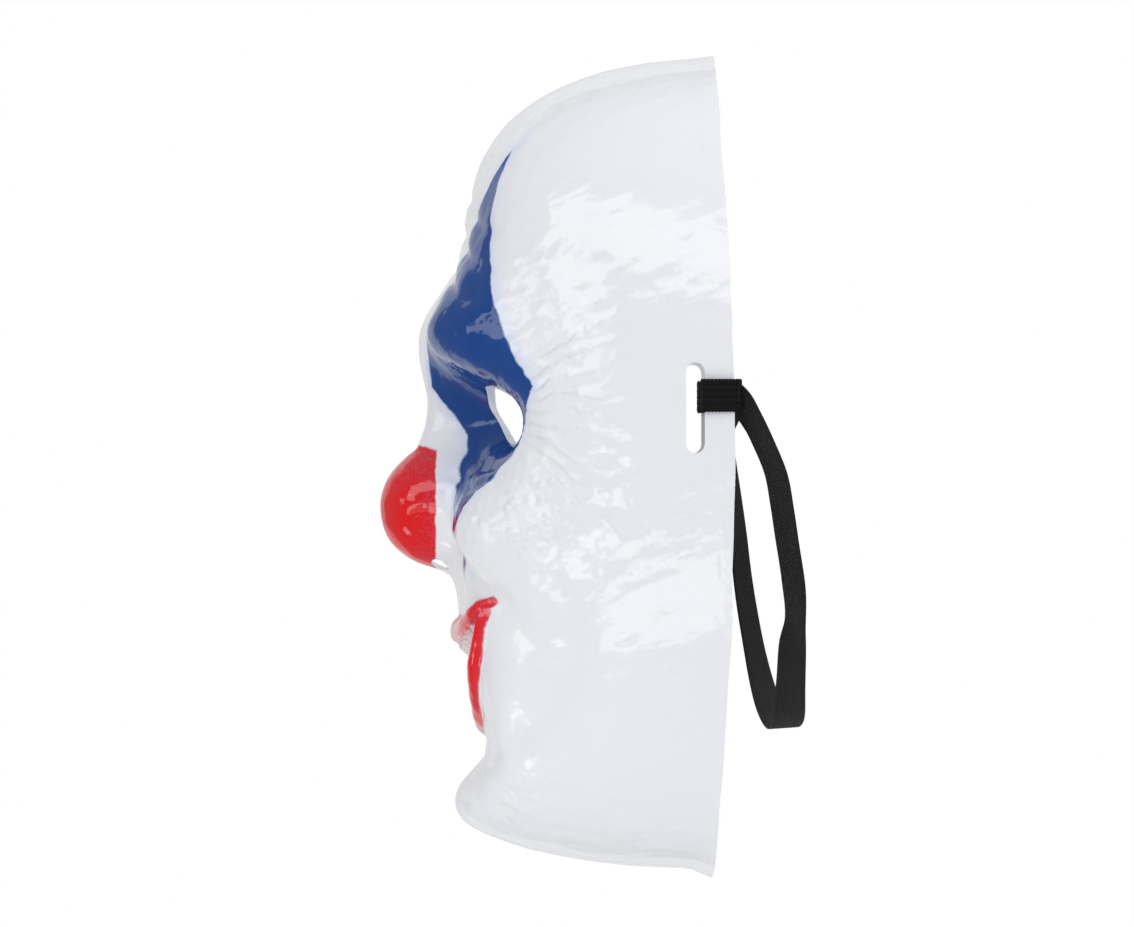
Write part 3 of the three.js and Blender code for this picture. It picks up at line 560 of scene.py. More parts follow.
    def flare(self, points):
        """Turns the rim outwards a little at the crown and under the chin."""
        s = self.s
        in_front = self.rim(points[..., 2]) - points[..., 1]
        share = bell(in_front, s.flare_reach) * bell(points[..., 0], s.flare_half_width) ** 2
        ends = smooth_step(*FLARE_ENDS, np.abs(points[..., 2]) / s.half_height)
        points[..., 2] += np.where(points[..., 2] > 0, CROWN_FLARE, -CHIN_FLARE) * share * ends
        wobble = 1 + waves(points, RIM_WOBBLE["wavelength"], RIM_WOBBLE["seed"])
        points[..., 1] -= RIM_WOBBLE["depth"] * wobble * bell(in_front, RIM_WOBBLE["reach"])


# Meshes

# The inside of the shell has one grid line for so many of the outside
COARSER = 2
# Where the shell's grid lines crowd together, from -1 to 1, and how much denser they are there
CROWD_ACROSS = dict(centre=0.0, reach=0.6, crowding=1.1)
CROWD_UP = dict(centre=-0.2, reach=0.6, crowding=1.0)
GRID_SAMPLES = 4001


def grid_lines(count, centre, reach, crowding):
    """Lines from -1 to 1 that crowd together round a centre."""
    t = np.linspace(-1, 1, GRID_SAMPLES)
    density = 1 + crowding * np.exp(-(((t - centre) / reach) ** 4))
    total = np.concatenate([[0], np.cumsum((density[1:] + density[:-1]) / 2)])
    return np.interp(np.linspace(0, 1, count + 1), total / total[-1], t)


def front_points(sizes):
    """x and z of the shell's grid, which fills the outline from edge to edge."""
    u, v = np.meshgrid(grid_lines(sizes.columns, **CROWD_ACROSS), grid_lines(sizes.rows, **CROWD_UP))
    a = u * np.sqrt(1 - v * v / 2)
    b = v * np.sqrt(1 - u * u / 2)
    q = np.minimum(np.hypot(a, b), 1)
    cos, sin = a / np.maximum(q, 1e-9), b / np.maximum(q, 1e-9)
    power = sizes.outline_power
    radius = (np.abs(cos) ** power + np.abs(sin) ** power + 1e-12) ** (-1 / power)
    reach = np.sin(q * math.pi / 2) * radius
    z = reach * sin * sizes.half_height
    x = reach * cos * sizes.half_width * (1 + sizes.jaw_taper * z / sizes.half_height)
    return x, z


def edge_of(shape):
    """Which points of a grid lie on its edge."""
    edge = np.ones(shape, bool)
    edge[1:-1, 1:-1] = False
    return edge


def outward_normals(points):
    """Normals of a grid of points, from its own rows and columns, square to the rim on its edge."""
    along = np.gradient(points, axis=1)
    up = np.gradient(points, axis=0)
    normals = np.cross(along, up)
    rim = along.copy()
    rim[:, 0], rim[:, -1] = up[:, 0], up[:, -1]
    flat = np.stack([rim[..., 2], np.zeros(rim.shape[:2]), -rim[..., 0]], axis=-1)
    out = points * np.array([1, 0, 1])
    flat *= np.where((flat * out).sum(-1, keepdims=True) < 0, -1, 1)
    edge = edge_of(points.shape[:2])
    normals[edge] = flat[edge]
    for i, j in ((0, 0), (0, -1), (-1, 0), (-1, -1)):
        normals[i, j] = out[i, j]
    return unit(normals)


def lowest_near(heights):
    """The lowest of each point of a grid and its neighbours."""
    padded = np.pad(heights, 1, mode="edge")
    rows, columns = heights.shape
    return np.min([padded[i:i + rows, j:j + columns] for i in range(3) for j in range(3)], axis=0)


def ring_of(grid):
    """The edge of a grid of indices, once round, counter-clockwise seen from the front."""
    return np.concatenate([grid[0, :-1], grid[:-1, -1], grid[-1, :0:-1], grid[:0:-1, 0]])


def wall_faces(index):
    """Four-sided faces between rings of points, each closed on itself."""
    after = np.roll(index, -1, axis=1)
    return np.stack([index[:-1], after[:-1], after[1:], index[1:]], -1).reshape(-1, 4)


def add_mesh(name, points, faces, materials, face_materials=None):
    """A smooth-shaded object of a mesh; face_materials holds an index into materials for each face."""
    mesh = bpy.data.meshes.new(name)
    mesh.from_pydata([tuple(p) for p in points], [], [tuple(int(i) for i in f) for f in faces])
    for material in materials:
        mesh.materials.append(material)
    if face_materials is not None:
        mesh.polygons.foreach_set("material_index", np.asarray(face_materials, np.int32))
    mesh.polygons.foreach_set("use_smooth", np.full(len(mesh.polygons), True))
    mesh.update()
    piece = bpy.data.objects.new(name, mesh)
    bpy.context.scene.collection.objects.link(piece)
    return piece


def turn_outwards(mesh):
    """Turns the faces of a closed mesh outwards."""
    if sum(p.center.dot(p.normal) * p.area for p in mesh.polygons) < 0:
        mesh.flip_normals()


def grid_sheet(face, x, z, height, edge):
    """Points of a grid at their heights, with its edge on the rim."""
    return np.stack([x, face.rim(z) - np.where(edge, 0, height), z], axis=-1)


def shell_mesh(face, materials):
    """The closed wall: a fine painted front, a plainer inside with fewer lines, and the cut rim."""
    s = face.s
    x, z = front_points(s)
    edge = edge_of(x.shape)
    lips = face.mouth(x, z, teeth=False)
    outer = grid_sheet(face, x, z, face.plain(x, z) + face.mouth(x, z), edge)
    inner = grid_sheet(face, x, z, face.plain(x, z) + lowest_near(lips), edge)
    outer = outer + outward_normals(outer) * face.skin(outer)[..., None]
    sunk = lowest_near(np.minimum(face.wrinkles(inner), 0)) - s.wall
    inner = (inner + outward_normals(inner) * sunk[..., None])[::COARSER, ::COARSER].copy()
    face.flare(outer)
    face.flare(inner)
    out = np.arange(outer.shape[0] * outer.shape[1]).reshape(outer.shape[:2])
    into = np.arange(inner.shape[0] * inner.shape[1]).reshape(inner.shape[:2]) + out.size
    front = np.stack([out[:-1, :-1], out[:-1, 1:], out[1:, 1:], out[1:, :-1]], -1).reshape(-1, 4)
    back = np.stack([into[1:, :-1], into[1:, 1:], into[:-1, 1:], into[:-1, :-1]], -1).reshape(-1, 4)
    faces = front.tolist() + back.tolist()
    ring_out, ring_in = ring_of(out), ring_of(into)
    for k in range(len(ring_in)):
        outside = [ring_out[(COARSER * k + step) % len(ring_out)] for step in range(COARSER, -1, -1)]
        faces.append([*outside, ring_in[k], ring_in[(k + 1) % len(ring_in)]])
    slots = [0] * len(front) + [1] * (len(faces) - len(front))
    points = np.concatenate([outer.reshape(-1, 3), inner.reshape(-1, 3)])
    return add_mesh("mask_face", points, faces, materials, slots)


# Steps round an eye hole or a nostril, and round each end of a strap slot
HOLE_STEPS = 72
SLOT_STEPS = 16
# How pointed an eye hole's corners are: share of its height that they lose
EYE_PINCH = 0.18
# Reach of the cutters: of an eye hole as shares of the depth, of a nostril in metres below the nose and up,
# of a slot as shares of the half width
EYE_CUT = (-1.4, -0.4)
NOSTRIL_CUT = (-0.004, 0.006)
SLOT_CUT = (0.8, 1.2)


def prism(name, outline, axis, low, high, material):
    """A closed bar whose outline runs round the other two axes; it is used to cut a hole."""
    count = len(outline)
    others = [i for i in range(3) if i != axis]
    points = np.zeros((2 * count, 3))
    for end, level in enumerate((low, high)):
        points[end * count:(end + 1) * count, others] = outline
        points[end * count:(end + 1) * count, axis] = level
    faces = [[k, (k + 1) % count, count + (k + 1) % count, count + k] for k in range(count)]
    faces += [list(range(count))[::-1], list(range(count, 2 * count))]
    cutter = add_mesh(name, points, faces, [material])
    turn_outwards(cutter.data)
    return cutter


def stadium(tall, width):
    """Outline of an upright slot with round ends."""
    straight = (tall - width) / 2
    angles = np.linspace(0, math.pi, SLOT_STEPS)
    top = np.stack([width / 2 * np.cos(angles), straight + width / 2 * np.sin(angles)], -1)
    return np.concatenate([top, -top])


def opening_cutters(face, holes, material):
    """A cutter for each eye hole, nostril and strap slot."""
    s = face.s
    cutters = []
    angles = np.linspace(0, 2 * math.pi, HOLE_STEPS, endpoint=False)
    for side in (1, -1):
        pinch = 1 - EYE_PINCH + EYE_PINCH * np.sin(angles) ** 2
        along = holes.eye_width / 2 * np.cos(angles)
        up = holes.eye_height / 2 * np.sin(angles) * pinch
        tilt = -side * holes.eye_tilt
        eye = np.stack([
            side * holes.eye_spread + along * math.cos(tilt) - up * math.sin(tilt),
            holes.eye_level + along * math.sin(tilt) + up * math.cos(tilt),
        ], -1)
        reach = [share * s.depth for share in EYE_CUT]
        cutters.append(prism("eye_cut", eye, 1, *reach, material))
        nostril = np.stack([
            side * holes.nostril_spread + holes.nostril_width / 2 * np.cos(angles),
            -NOSE_TIP + holes.nostril_setback + holes.nostril_depth / 2 * np.sin(angles),
        ], -1)
        reach = [s.nose_height - s.nose_radius + rise for rise in NOSTRIL_CUT]
        cutters.append(prism("nostril_cut", nostril, 2, *reach, material))
        centre = np.array([-holes.slot_strip - holes.slot_width / 2, holes.slot_level])
        slot = centre + stadium(holes.slot_length, holes.slot_width)
        reach = sorted(side * share * s.half_width for share in SLOT_CUT)
        cutters.append(prism("slot_cut", slot, 0, *reach, material))
    return cutters


def cut(piece, cutters):
    """Cuts the openings out of a piece and deletes the cutters."""
    for cutter in cutters:
        modifier = piece.modifiers.new("opening", "BOOLEAN")
        modifier.operation = "DIFFERENCE"
        modifier.solver = "MANIFOLD"
        modifier.object = cutter
    graph = bpy.context.evaluated_depsgraph_get()
    made = bpy.data.meshes.new_from_object(piece.evaluated_get(graph))
    old = piece.data
    piece.modifiers.clear()
    piece.data = made
    made.name = old.name
    bpy.data.meshes.remove(old)
    for cutter in cutters:
        mesh = cutter.data
        bpy.data.objects.remove(cutter)
        bpy.data.meshes.remove(mesh)


def add_field(piece, name, values):
    """Keeps a number for each point on a piece's mesh."""
    field = piece.data.attributes.new(name, "FLOAT", "POINT")
    field.data.foreach_set("value", np.asarray(values, np.float32))


# How far past the lips' inner edges a tooth still counts as one
TOOTH_MARGIN = 0.002


def tooth_field(piece, face):
    """How much of a tooth stands at each point, kept on the mesh for the paint to read."""
    spots = np.zeros(len(piece.data.vertices) * 3, np.float32)
    piece.data.vertices.foreach_get("co", spots)
    x, _, z = spots.reshape(-1, 3).astype(float).T
    m = face.mouth_levels(x)
    inside = np.minimum(m["upper_inner"] - z, z - m["lower_inner"])
    add_field(piece, "tooth", face.teeth(x, z) * (inside > -TOOTH_MARGIN))


# Cross-section of a band. cells: across each cord, for least_cords of them or more; edge_power: how square
# its edges are; least: share of the thickness that each face keeps at an edge; scallop_pitch: between the
# notches along a tab's edges
BAND = dict(cells=4, least_cords=9, edge_power=14, least=0.04, scallop_pitch=0.0011)
# Weaves of the elastic. relief: depth of its ribs as a share of the thickness; scallop: of its edges as a
# share of the width; yarn, cord: how strongly each shows; light: share of the painted highlight on the
# tops of its yarns, and of the material's sheen
BAND_WEAVE = dict(relief=0.2, scallop=0.0, yarn=0.55, cord=0.25, light=0.9)
TAB_WEAVE = dict(relief=0.45, scallop=0.018, yarn=0.25, cord=0.6, light=0.1)
# A folded tab is so much wider than the band
TAB_SPREAD = 1.02


def band_points(stations, width, thickness, cords, weave):
    """A ribbed flat band swept along stations, with its length and its place across kept for the weave."""
    centres, across = stations[:, :3], unit(stations[:, 3:])
    along = unit(np.gradient(centres, axis=0))
    thick = unit(np.cross(along, across))
    run = run_along(centres)
    place = np.linspace(-1, 1, BAND["cells"] * max(cords, BAND["least_cords"]) + 1)
    edge = np.sqrt(np.clip(1 - np.abs(place) ** BAND["edge_power"], 0, 1))
    rib = 1 - weave["relief"] + weave["relief"] * np.abs(np.cos(place * cords * math.pi / 2))
    half = thickness / 2 * edge * rib + thickness * BAND["least"]
    ring_place = np.concatenate([place, place[::-1]])
    ring_half = np.concatenate([half, -half[::-1]])
    wave = 1 + weave["scallop"] * np.cos(run * 2 * math.pi / BAND["scallop_pitch"])
    rings = (centres[:, None, :]
             + across[:, None, :] * (ring_place[None, :, None] * width / 2 * wave[:, None, None])
             + thick[:, None, :] * ring_half[None, :, None])
    count = len(ring_place)
    index = np.arange(len(centres) * count).reshape(len(centres), count)
    faces = wall_faces(index).tolist() + [index[0][::-1].tolist(), index[-1].tolist()]
    return rings.reshape(-1, 3), faces, np.repeat(run, count), np.tile(ring_place, len(centres))


def add_band(name, stations, width, thickness, cords, weave, material):
    """A band as an object, with what its weave needs kept on its mesh."""
    points, faces, run, place = band_points(stations, width, thickness, cords, weave)
    band = add_mesh(name, points, faces, [material])
    turn_outwards(band.data)
    add_field(band, "run", run)
    add_field(band, "across", place)
    return band


# Steps of the strap's curves: round a corner, along a tab's bend and between two points of the route
CORNER_STEPS = 7
TAB_STEPS = 12
LOOP_STEPS = 16
# Length of one cell of a tab's mesh, and how often each station is averaged with its neighbours
TAB_STEP = 0.00022
SOFTENING_PASSES = 3
# Radius of the fold in a slot, as a share of how far the band's middle stands off the shell
CORNER_SHARE = 0.9
# Where a tab starts to bend on its way to its seam, and how far its middle then lies from the band's, as a
# share of the thickness
TAB_BEND = 0.1
SEWN_SHARE = 0.9


def even_rows(rows, step):
    """Stations at even steps along their line, softened. A station is a row of a point of the band's middle
    line and the direction across the band."""
    run = run_along(rows[:, :3])
    spots = np.linspace(0, run[-1], max(int(run[-1] / step), 2) + 1)
    even = np.stack([np.interp(spots, run, column) for column in rows.T], -1)
    for _ in range(SOFTENING_PASSES):
        even[1:-1] = 0.25 * even[:-2] + 0.5 * even[1:-1] + 0.25 * even[2:]
    return even


def catmull_rom(points, steps):
    """A smooth curve through points, paced by the square root of their distances."""
    ends = np.concatenate([[2 * points[0] - points[1]], points, [2 * points[-1] - points[-2]]])
    made = []
    for i in range(1, len(ends) - 2):
        p0, p1, p2, p3 = ends[i - 1:i + 3]
        t0, t1, t2 = (math.sqrt(np.linalg.norm(b[:3] - a[:3])) for a, b in ((p0, p1), (p1, p2), (p2, p3)))
        m1 = ((p1 - p0) / t0 - (p2 - p0) / (t0 + t1) + (p2 - p1) / t1) * t1
        m2 = ((p2 - p1) / t1 - (p3 - p1) / (t1 + t2) + (p3 - p2) / t2) * t1
        for k in range(steps):
            t = k / steps
            made.append((2 * t ** 3 - 3 * t ** 2 + 1) * p1 + (t ** 3 - 2 * t ** 2 + t) * m1
                        + (3 * t ** 2 - 2 * t ** 3) * p2 + (t ** 3 - t ** 2) * m2)
    made.append(points[-1])
    return np.array(made)


class StrapPath:
    """Where the strap runs: round the strip of shell behind each slot, and in a slack loop between."""

    def __init__(self, face, holes, strap):
        stand = strap.clearance + strap.thickness / 2
        self.strap = strap
        self.outer = face.side_at(-holes.slot_strip / 2, STRAP_LEVEL) + stand
        self.inner = face.side_at(-holes.slot_strip, STRAP_LEVEL) - face.s.wall - stand
        self.front = -holes.slot_strip - stand
        self.corner = CORNER_SHARE * stand
        self.rear = face.rim(STRAP_LEVEL) + strap.clearance
        self.start = self.rear + strap.tab_overlap / 2

    def corner_points(self, x, side_sign):
        """Quarter turn in the slot, from the front to one face of the strip."""
        angles = np.linspace(0, math.pi / 2, CORNER_STEPS)
        return [(x + side_sign * self.corner * (np.sin(a) - 1), self.front + self.corner * (1 - np.cos(a)))
                for a in angles]

    def tab(self, side):
        """The folded end, from the slot over the outside of the strip to its seam behind the rim."""
        middle = (self.outer + self.inner) / 2
        flat = [(middle, self.front)] + self.corner_points(self.outer, 1)
        sewn = self.inner + self.strap.thickness * SEWN_SHARE
        for share in np.linspace(0, 1, TAB_STEPS):
            y = self.rear - self.strap.clearance + share * (self.strap.tab_overlap + self.strap.clearance)
            flat.append((self.outer + (sewn - self.outer) * smooth_step(TAB_BEND, 1, share), y))
        return even_rows(self.stations(flat, side), TAB_STEP)

    def wrap(self, side):
        """The band from the slot along the inside of the strip to the start of the loop."""
        middle = (self.outer + self.inner) / 2
        flat = [(middle, self.front)] + self.corner_points(self.inner, -1) + [(self.inner, self.start)]
        return self.stations(flat, side)

    def stations(self, flat, side):
        """Stations at the strap's level, through points given by their distance from the middle and y."""
        points = np.array([(side * x, y, STRAP_LEVEL) for x, y in flat])
        up = np.tile([0.0, 0.0, 1.0], (len(points), 1))
        return np.concatenate([points, up], axis=1)

    def loop(self):
        """The slack loop, from one seam to the other."""
        points = np.array([
            (x * self.inner, self.start + back * self.strap.swing, STRAP_LEVEL - down * STRAP_DROP,
             math.radians(turn))
            for x, back, down, turn in STRAP_ROUTE
        ])
        curve = catmull_rom(points, LOOP_STEPS)
        along = unit(np.gradient(curve[:, :3], axis=0))
        outward = curve[:, :3] * np.array([1, 0, 1]) - np.array([0, 0, STRAP_LEVEL])
        across = unit(np.cross(outward, along))
        turn = curve[:, 3:]
        turned = across * np.cos(turn) + np.cross(along, across) * np.sin(turn)
        run = run_along(curve[:, :3])
        from_end = np.minimum(run, run[-1] - run)
        share = self.strap.upright * (1 - smooth_step(0, self.strap.upright_reach, from_end))[:, None]
        turned = turned * (1 - share) + np.array([0, 0, 1]) * share
        return np.concatenate([curve[:, :3], turned], axis=1)

    def belt(self):
        """The whole band, from slot to slot."""
        left, right = self.wrap(1), self.wrap(-1)[::-1]
        rows = np.concatenate([left[:-1], self.loop(), right[1:]])
        return even_rows(rows, self.strap.step)


# Seams of the strap. rows: cells of the tab back from its end; reach: share of the width to each side;
# lift: share of the thickness; phase: radians, so that no stitch falls on the line; the rest in metres
SEAM = dict(rows=(5, 9), reach=0.46, stitches=61, zigzag=0.00022, phase=0.4, lift=0.55,
            dip=0.00006, radius=0.00017)
THREAD_SIDES = 6
# A direction that no thread runs along, to lay out its cross-section
THREAD_GUIDE = (0.31, 0.87, 0.38)


def thread_tube(path, radius):
    """A closed round thread along a path of points."""
    along = unit(np.gradient(path, axis=0))
    first = unit(np.cross(along, THREAD_GUIDE))
    second = np.cross(along, first)
    angles = np.linspace(0, 2 * math.pi, THREAD_SIDES, endpoint=False)
    ring = first[:, None] * np.cos(angles)[None, :, None] + second[:, None] * np.sin(angles)[None, :, None]
    points = (path[:, None] + radius * ring).reshape(-1, 3)
    index = np.arange(len(points)).reshape(len(path), THREAD_SIDES)
    faces = wall_faces(index)[:, [0, 3, 2, 1]].tolist()
    faces += [index[0].tolist(), index[-1][::-1].tolist()]
    return points, faces


def seam_line(centre, side, thickness):
    """Path of one zigzag seam across the band."""
    stitch = np.arange(SEAM["stitches"])
    place = np.linspace(-SEAM["reach"], SEAM["reach"], SEAM["stitches"]) * STRAP_WIDTH
    dip = SEAM["dip"] * np.cos(stitch * math.pi / 2)
    return np.stack([
        centre[0] + side * (thickness * SEAM["lift"] + dip),
        centre[1] + SEAM["zigzag"] * np.sign(np.sin(stitch * math.pi / 2 + SEAM["phase"])),
        centre[2] + place,
    ], -1)


# Shaders


def sum_of(operation, swapped=False):
    """A method that puts two values through one kind of shader maths."""
    def method(self, other):
        first, second = (other, self) if swapped else (self, other)
        return self.maker.maths(operation, first, second)
    return method


class Value:
    """A shader socket that takes part in Python sums."""

    def __init__(self, maker, socket):
        self.maker = maker
        self.socket = socket

    __add__ = sum_of("ADD")
    __radd__ = sum_of("ADD", swapped=True)
    __sub__ = sum_of("SUBTRACT")
    __rsub__ = sum_of("SUBTRACT", swapped=True)
    __mul__ = sum_of("MULTIPLY")
    __rmul__ = sum_of("MULTIPLY", swapped=True)
    __truediv__ = sum_of("DIVIDE")
    __rtruediv__ = sum_of("DIVIDE", swapped=True)
    __pow__ = sum_of("POWER")
    __rpow__ = sum_of("POWER", swapped=True)
    larger = sum_of("MAXIMUM")
    smaller = sum_of("MINIMUM")

    def sine(self):
        return self.maker.maths("SINE", self, 0.0)

    def size(self):
        return self.maker.maths("ABSOLUTE", self, 0.0)

    def step(self, low, high):
        """0 below low, 1 above high, smooth between."""
        return self.maker.node(
            "ShaderNodeMapRange",
            {"interpolation_type": "SMOOTHSTEP"},
            {"Value": self, "From Min": low, "From Max": high},
        )


class Shader:
    """One node material; every node of it comes from node()."""

    def __init__(self, name):
        self.material = bpy.data.materials.new(name)
        self.material.use_nodes = True
        self.tree = self.material.node_tree
        self.tree.nodes.clear()

    def node(self, kind, settings=None, inputs=None, output=0):
        made = self.tree.nodes.new(kind)
        for key, value in (settings or {}).items():
            setattr(made, key, value)
        for key, value in (inputs or {}).items():
            self.feed(made.inputs[key], value)
        return Value(self, made.outputs[output]) if len(made.outputs) else None

    def feed(self, socket, value):
        if isinstance(value, Value):
            self.tree.links.new(value.socket, socket)
        elif socket.type == "RGBA":
            socket.default_value = (*value[:3], 1.0)
        else:
            socket.default_value = value

    def maths(self, operation, first, second):
        return self.node("ShaderNodeMath", {"operation": operation}, {0: first, 1: second})

    def field(self, name):
        return self.node("ShaderNodeAttribute", {"attribute_name": name}, output="Fac")

    def place(self):
        return self.node("ShaderNodeTexCoord", output="Object")

    def axes(self):
        return [self.node("ShaderNodeSeparateXYZ", None, {"Vector": self.place()}, k) for k in range(3)]

    def streaked(self, lean, stretch):
        """Places for a texture that runs along the side of the face, leaning up towards the back."""
        inputs = {"Vector": self.place(), "Rotation": (lean, 0, 0), "Scale": (1, stretch, 1)}
        return self.node("ShaderNodeMapping", {"vector_type": "TEXTURE"}, inputs)

    def noise(self, scale, detail=2.0, roughness=0.5, place=None):
        """Noise of -1 to 1 about 0, with about scale features to the metre."""
        inputs = {"Vector": place or self.place(), "Scale": scale, "Detail": detail, "Roughness": roughness}
        return (self.node("ShaderNodeTexNoise", {"noise_dimensions": "3D"}, inputs) - 0.5) * 2.0

    def mix(self, base, over, share):
        return self.node("ShaderNodeMix", {"data_type": "RGBA"}, {0: share, 6: base, 7: over}, output=2)

    def bump(self, height, distance):
        inputs = {"Strength": 1.0, "Distance": distance, "Height": height}
        return self.node("ShaderNodeBump", None, inputs)

    def finish(self, surface):
        made = self.node("ShaderNodeBsdfPrincipled", None, surface)
        self.node("ShaderNodeOutputMaterial", None, {"Surface": made})
        return self.material


# Painted areas. Upright diamonds over the eyes: levels of their points and of their widest place, distance
# of their middle from the middle of the face, half width, how much their sides curve in above, and how much
# nearer a point is to a slanting side than it is level with it.
DIAMOND = dict(top=0.099, middle=0.024, bottom=-0.040, centre=0.0335, half=0.029, curve=1.25, slant=0.92)
# The nose's paint: it ends at a plane and within a radius
NOSE_PAINT = dict(plane=-0.0925, radius=0.0198)
# The lips' red stands past the mouth's corners, and is rounded there
LIP_CORNER = dict(past=0.001, reach=0.002, round=0.0016)


def paint_edges(m, shell):
    """Distances inwards from the edges of the painted areas, over the front view."""
    x, y, z = m.axes()
    ax = x.size()
    d = DIAMOND
    above = (z - d["middle"]) / (d["top"] - d["middle"])
    below = (d["middle"] - z) / (d["middle"] - d["bottom"])
    share = above.larger(below)
    reach = d["half"] * (1 - share).larger(0.0) ** d["curve"]
    beyond_tip = (share - 1).larger(0.0) * d["half"]
    nose_radius = (x ** 2.0 + (z - shell.nose_height) ** 2.0) ** 0.5
    half_mouth = MOUTH["half"] * shell.half_width
    levels = lip_levels((ax / half_mouth).smaller(1.0), shell)
    upper = (levels["upper_outer"] - z).smaller(z - levels["upper_inner"])
    lower = (levels["lower_inner"] - z).smaller(z - levels["lower_outer"])
    inside = (levels["upper_inner"] - z).smaller(z - levels["lower_inner"])
    middle = (MOUTH["corner"] - MOUTH["upper_lip"] / 4) * shell.half_height
    corner = (((z - middle) / LIP_CORNER["reach"]) ** 2.0).smaller(1.0) * LIP_CORNER["round"]
    return {
        "blue": (reach - (ax - d["centre"]).size()) * d["slant"] - beyond_tip,
        "nose": (NOSE_PAINT["plane"] - y).smaller(NOSE_PAINT["radius"] - nose_radius),
        "lip": upper.larger(lower).smaller(half_mouth + LIP_CORNER["past"] - ax - corner),
        "mouth": inside.smaller(half_mouth - ax),
        "up_the_nose": z - shell.nose_height,
    }


# Relief too fine for the mesh, in metres. Lines of the crow's feet leave a point at y, z on the side of the
# face, within limits of back, the distance behind it, and of slope; source: how far in front of that point
# they would meet
FINE_FEET = dict(
    y=-0.068, z=0.0165, curve=3.0, source=0.014, nearest=0.004, lines=17.0, wander=2.6, sharpness=1.4,
    back=(0.004, 0.031, 0.006), slope=(-0.72, 0.8, 0.14),
    fade_x=(0.044, 0.054), broken=(-0.5, 0.05), height=0.00042,
)
# Pebbles under the eyes and on the chin, as cells with so many to the metre
FINE_PEBBLES = dict(scale=265.0, smoothness=0.35, reach=0.55, height=0.0009)
PEBBLE_PATCHES = [
    dict(share=1.0, soft=0.005, y=(-0.072, -0.05), z=(-0.031, -0.002)),
    dict(share=0.6, soft=0.006, y=(-0.074, -0.052), z=(-0.116, -0.094)),
]
# Ripples of the moulding: leaning streaks, lumps and dimples
RIPPLE_HEIGHT = 0.00024
STREAK_LEAN = math.radians(24)
STREAK_STRETCH = 2.6
LUMPS = 1.3
DIMPLES = 0.14


def between(value, low, high, soft):
    """1 between two limits, 0 outside them, soft at both."""
    return value.step(low - soft, low + soft) * (1 - value.step(high - soft, high + soft))


def fine_feet(m, x, y, z):
    """Narrow ridges that fan out of a point in front of the eye's outer corner."""
    feet = FINE_FEET
    back = y - feet["y"]
    slope = (z - feet["z"] + back ** 2.0 * feet["curve"]) / (back + feet["source"]).larger(feet["nearest"])
    wander = m.noise(scale=75, detail=1)
    ridge = (1 - (slope * feet["lines"] + wander * feet["wander"]).sine().size()) ** feet["sharpness"]
    fan = between(back, *feet["back"]) * between(slope, *feet["slope"]) * x.size().step(*feet["fade_x"])
    return ridge * fan * (wander + m.noise(scale=210, detail=1)).step(*feet["broken"]) * feet["height"]


def fine_skin(m):
    """Relief too fine for the mesh, in metres: crow's feet, pebbles and the ripples of the moulding."""
    x, y, z = m.axes()
    cells = m.node("ShaderNodeTexVoronoi", {"feature": "SMOOTH_F1"}, {
        "Vector": m.place(), "Scale": FINE_PEBBLES["scale"], "Smoothness": FINE_PEBBLES["smoothness"],
    })
    pebbles = (FINE_PEBBLES["reach"] - cells).larger(0.0) * FINE_PEBBLES["height"]
    patches = [
        between(y, *row["y"], row["soft"]) * between(z, *row["z"], row["soft"]) * row["share"]
        for row in PEBBLE_PATCHES
    ]
    streaked = m.streaked(STREAK_LEAN, STREAK_STRETCH)
    streaks = m.noise(scale=165, detail=2, roughness=0.42, place=streaked)
    lumps = m.noise(scale=85, detail=1) * LUMPS
    dimples = m.noise(scale=520, detail=0) * DIMPLES
    ripples = (streaks + lumps + dimples) * RIPPLE_HEIGHT
    return fine_feet(m, x, y, z) + pebbles * (patches[0] + patches[1]) + ripples


# Edges of the sprayed paints. ragged, fine: metres that noise moves them; start, full: metres inwards
SPRAYS = dict(
    blue=dict(ragged=0.0008, fine=0.0002, start=-0.0002, full=0.0006),
    nose=dict(ragged=0.0006, fine=0.0005, start=-0.0001, full=0.0007),
    lip=dict(ragged=0.0004, fine=0.0002, start=-0.0006, full=0.0004),
)
# Blue mist round the diamonds, thin red near the nose's edge and up the nose, metres inwards
MIST_EDGE = (-0.0065, 0.0012)
THIN_NOSE_EDGE = (0.0004, 0.0042)
THIN_NOSE_TOP = (0.002, 0.014)
# How fast the blue thickens inwards, for each metre
BLUE_THICKENING = 60.0
# The mouth: its edge, the edge of the gums, how ragged that is, and the worn edge of the lips, in metres
MOUTH_EDGE = (-0.0006, 0.0008)
GUM_EDGE = (0.0006, 0.0062)
GUM_RAGGED = 0.0012
WORN_LIP = (0.0002, 0.0022)
# Shares of each thin or faded tint
TINTS = dict(mist=0.62, thin_red=0.8, gum=0.35, gum_between=0.5, worn_lip=0.35, cloudy_lip=0.25, dust=0.35)
DUST = linear(150, 140, 130)


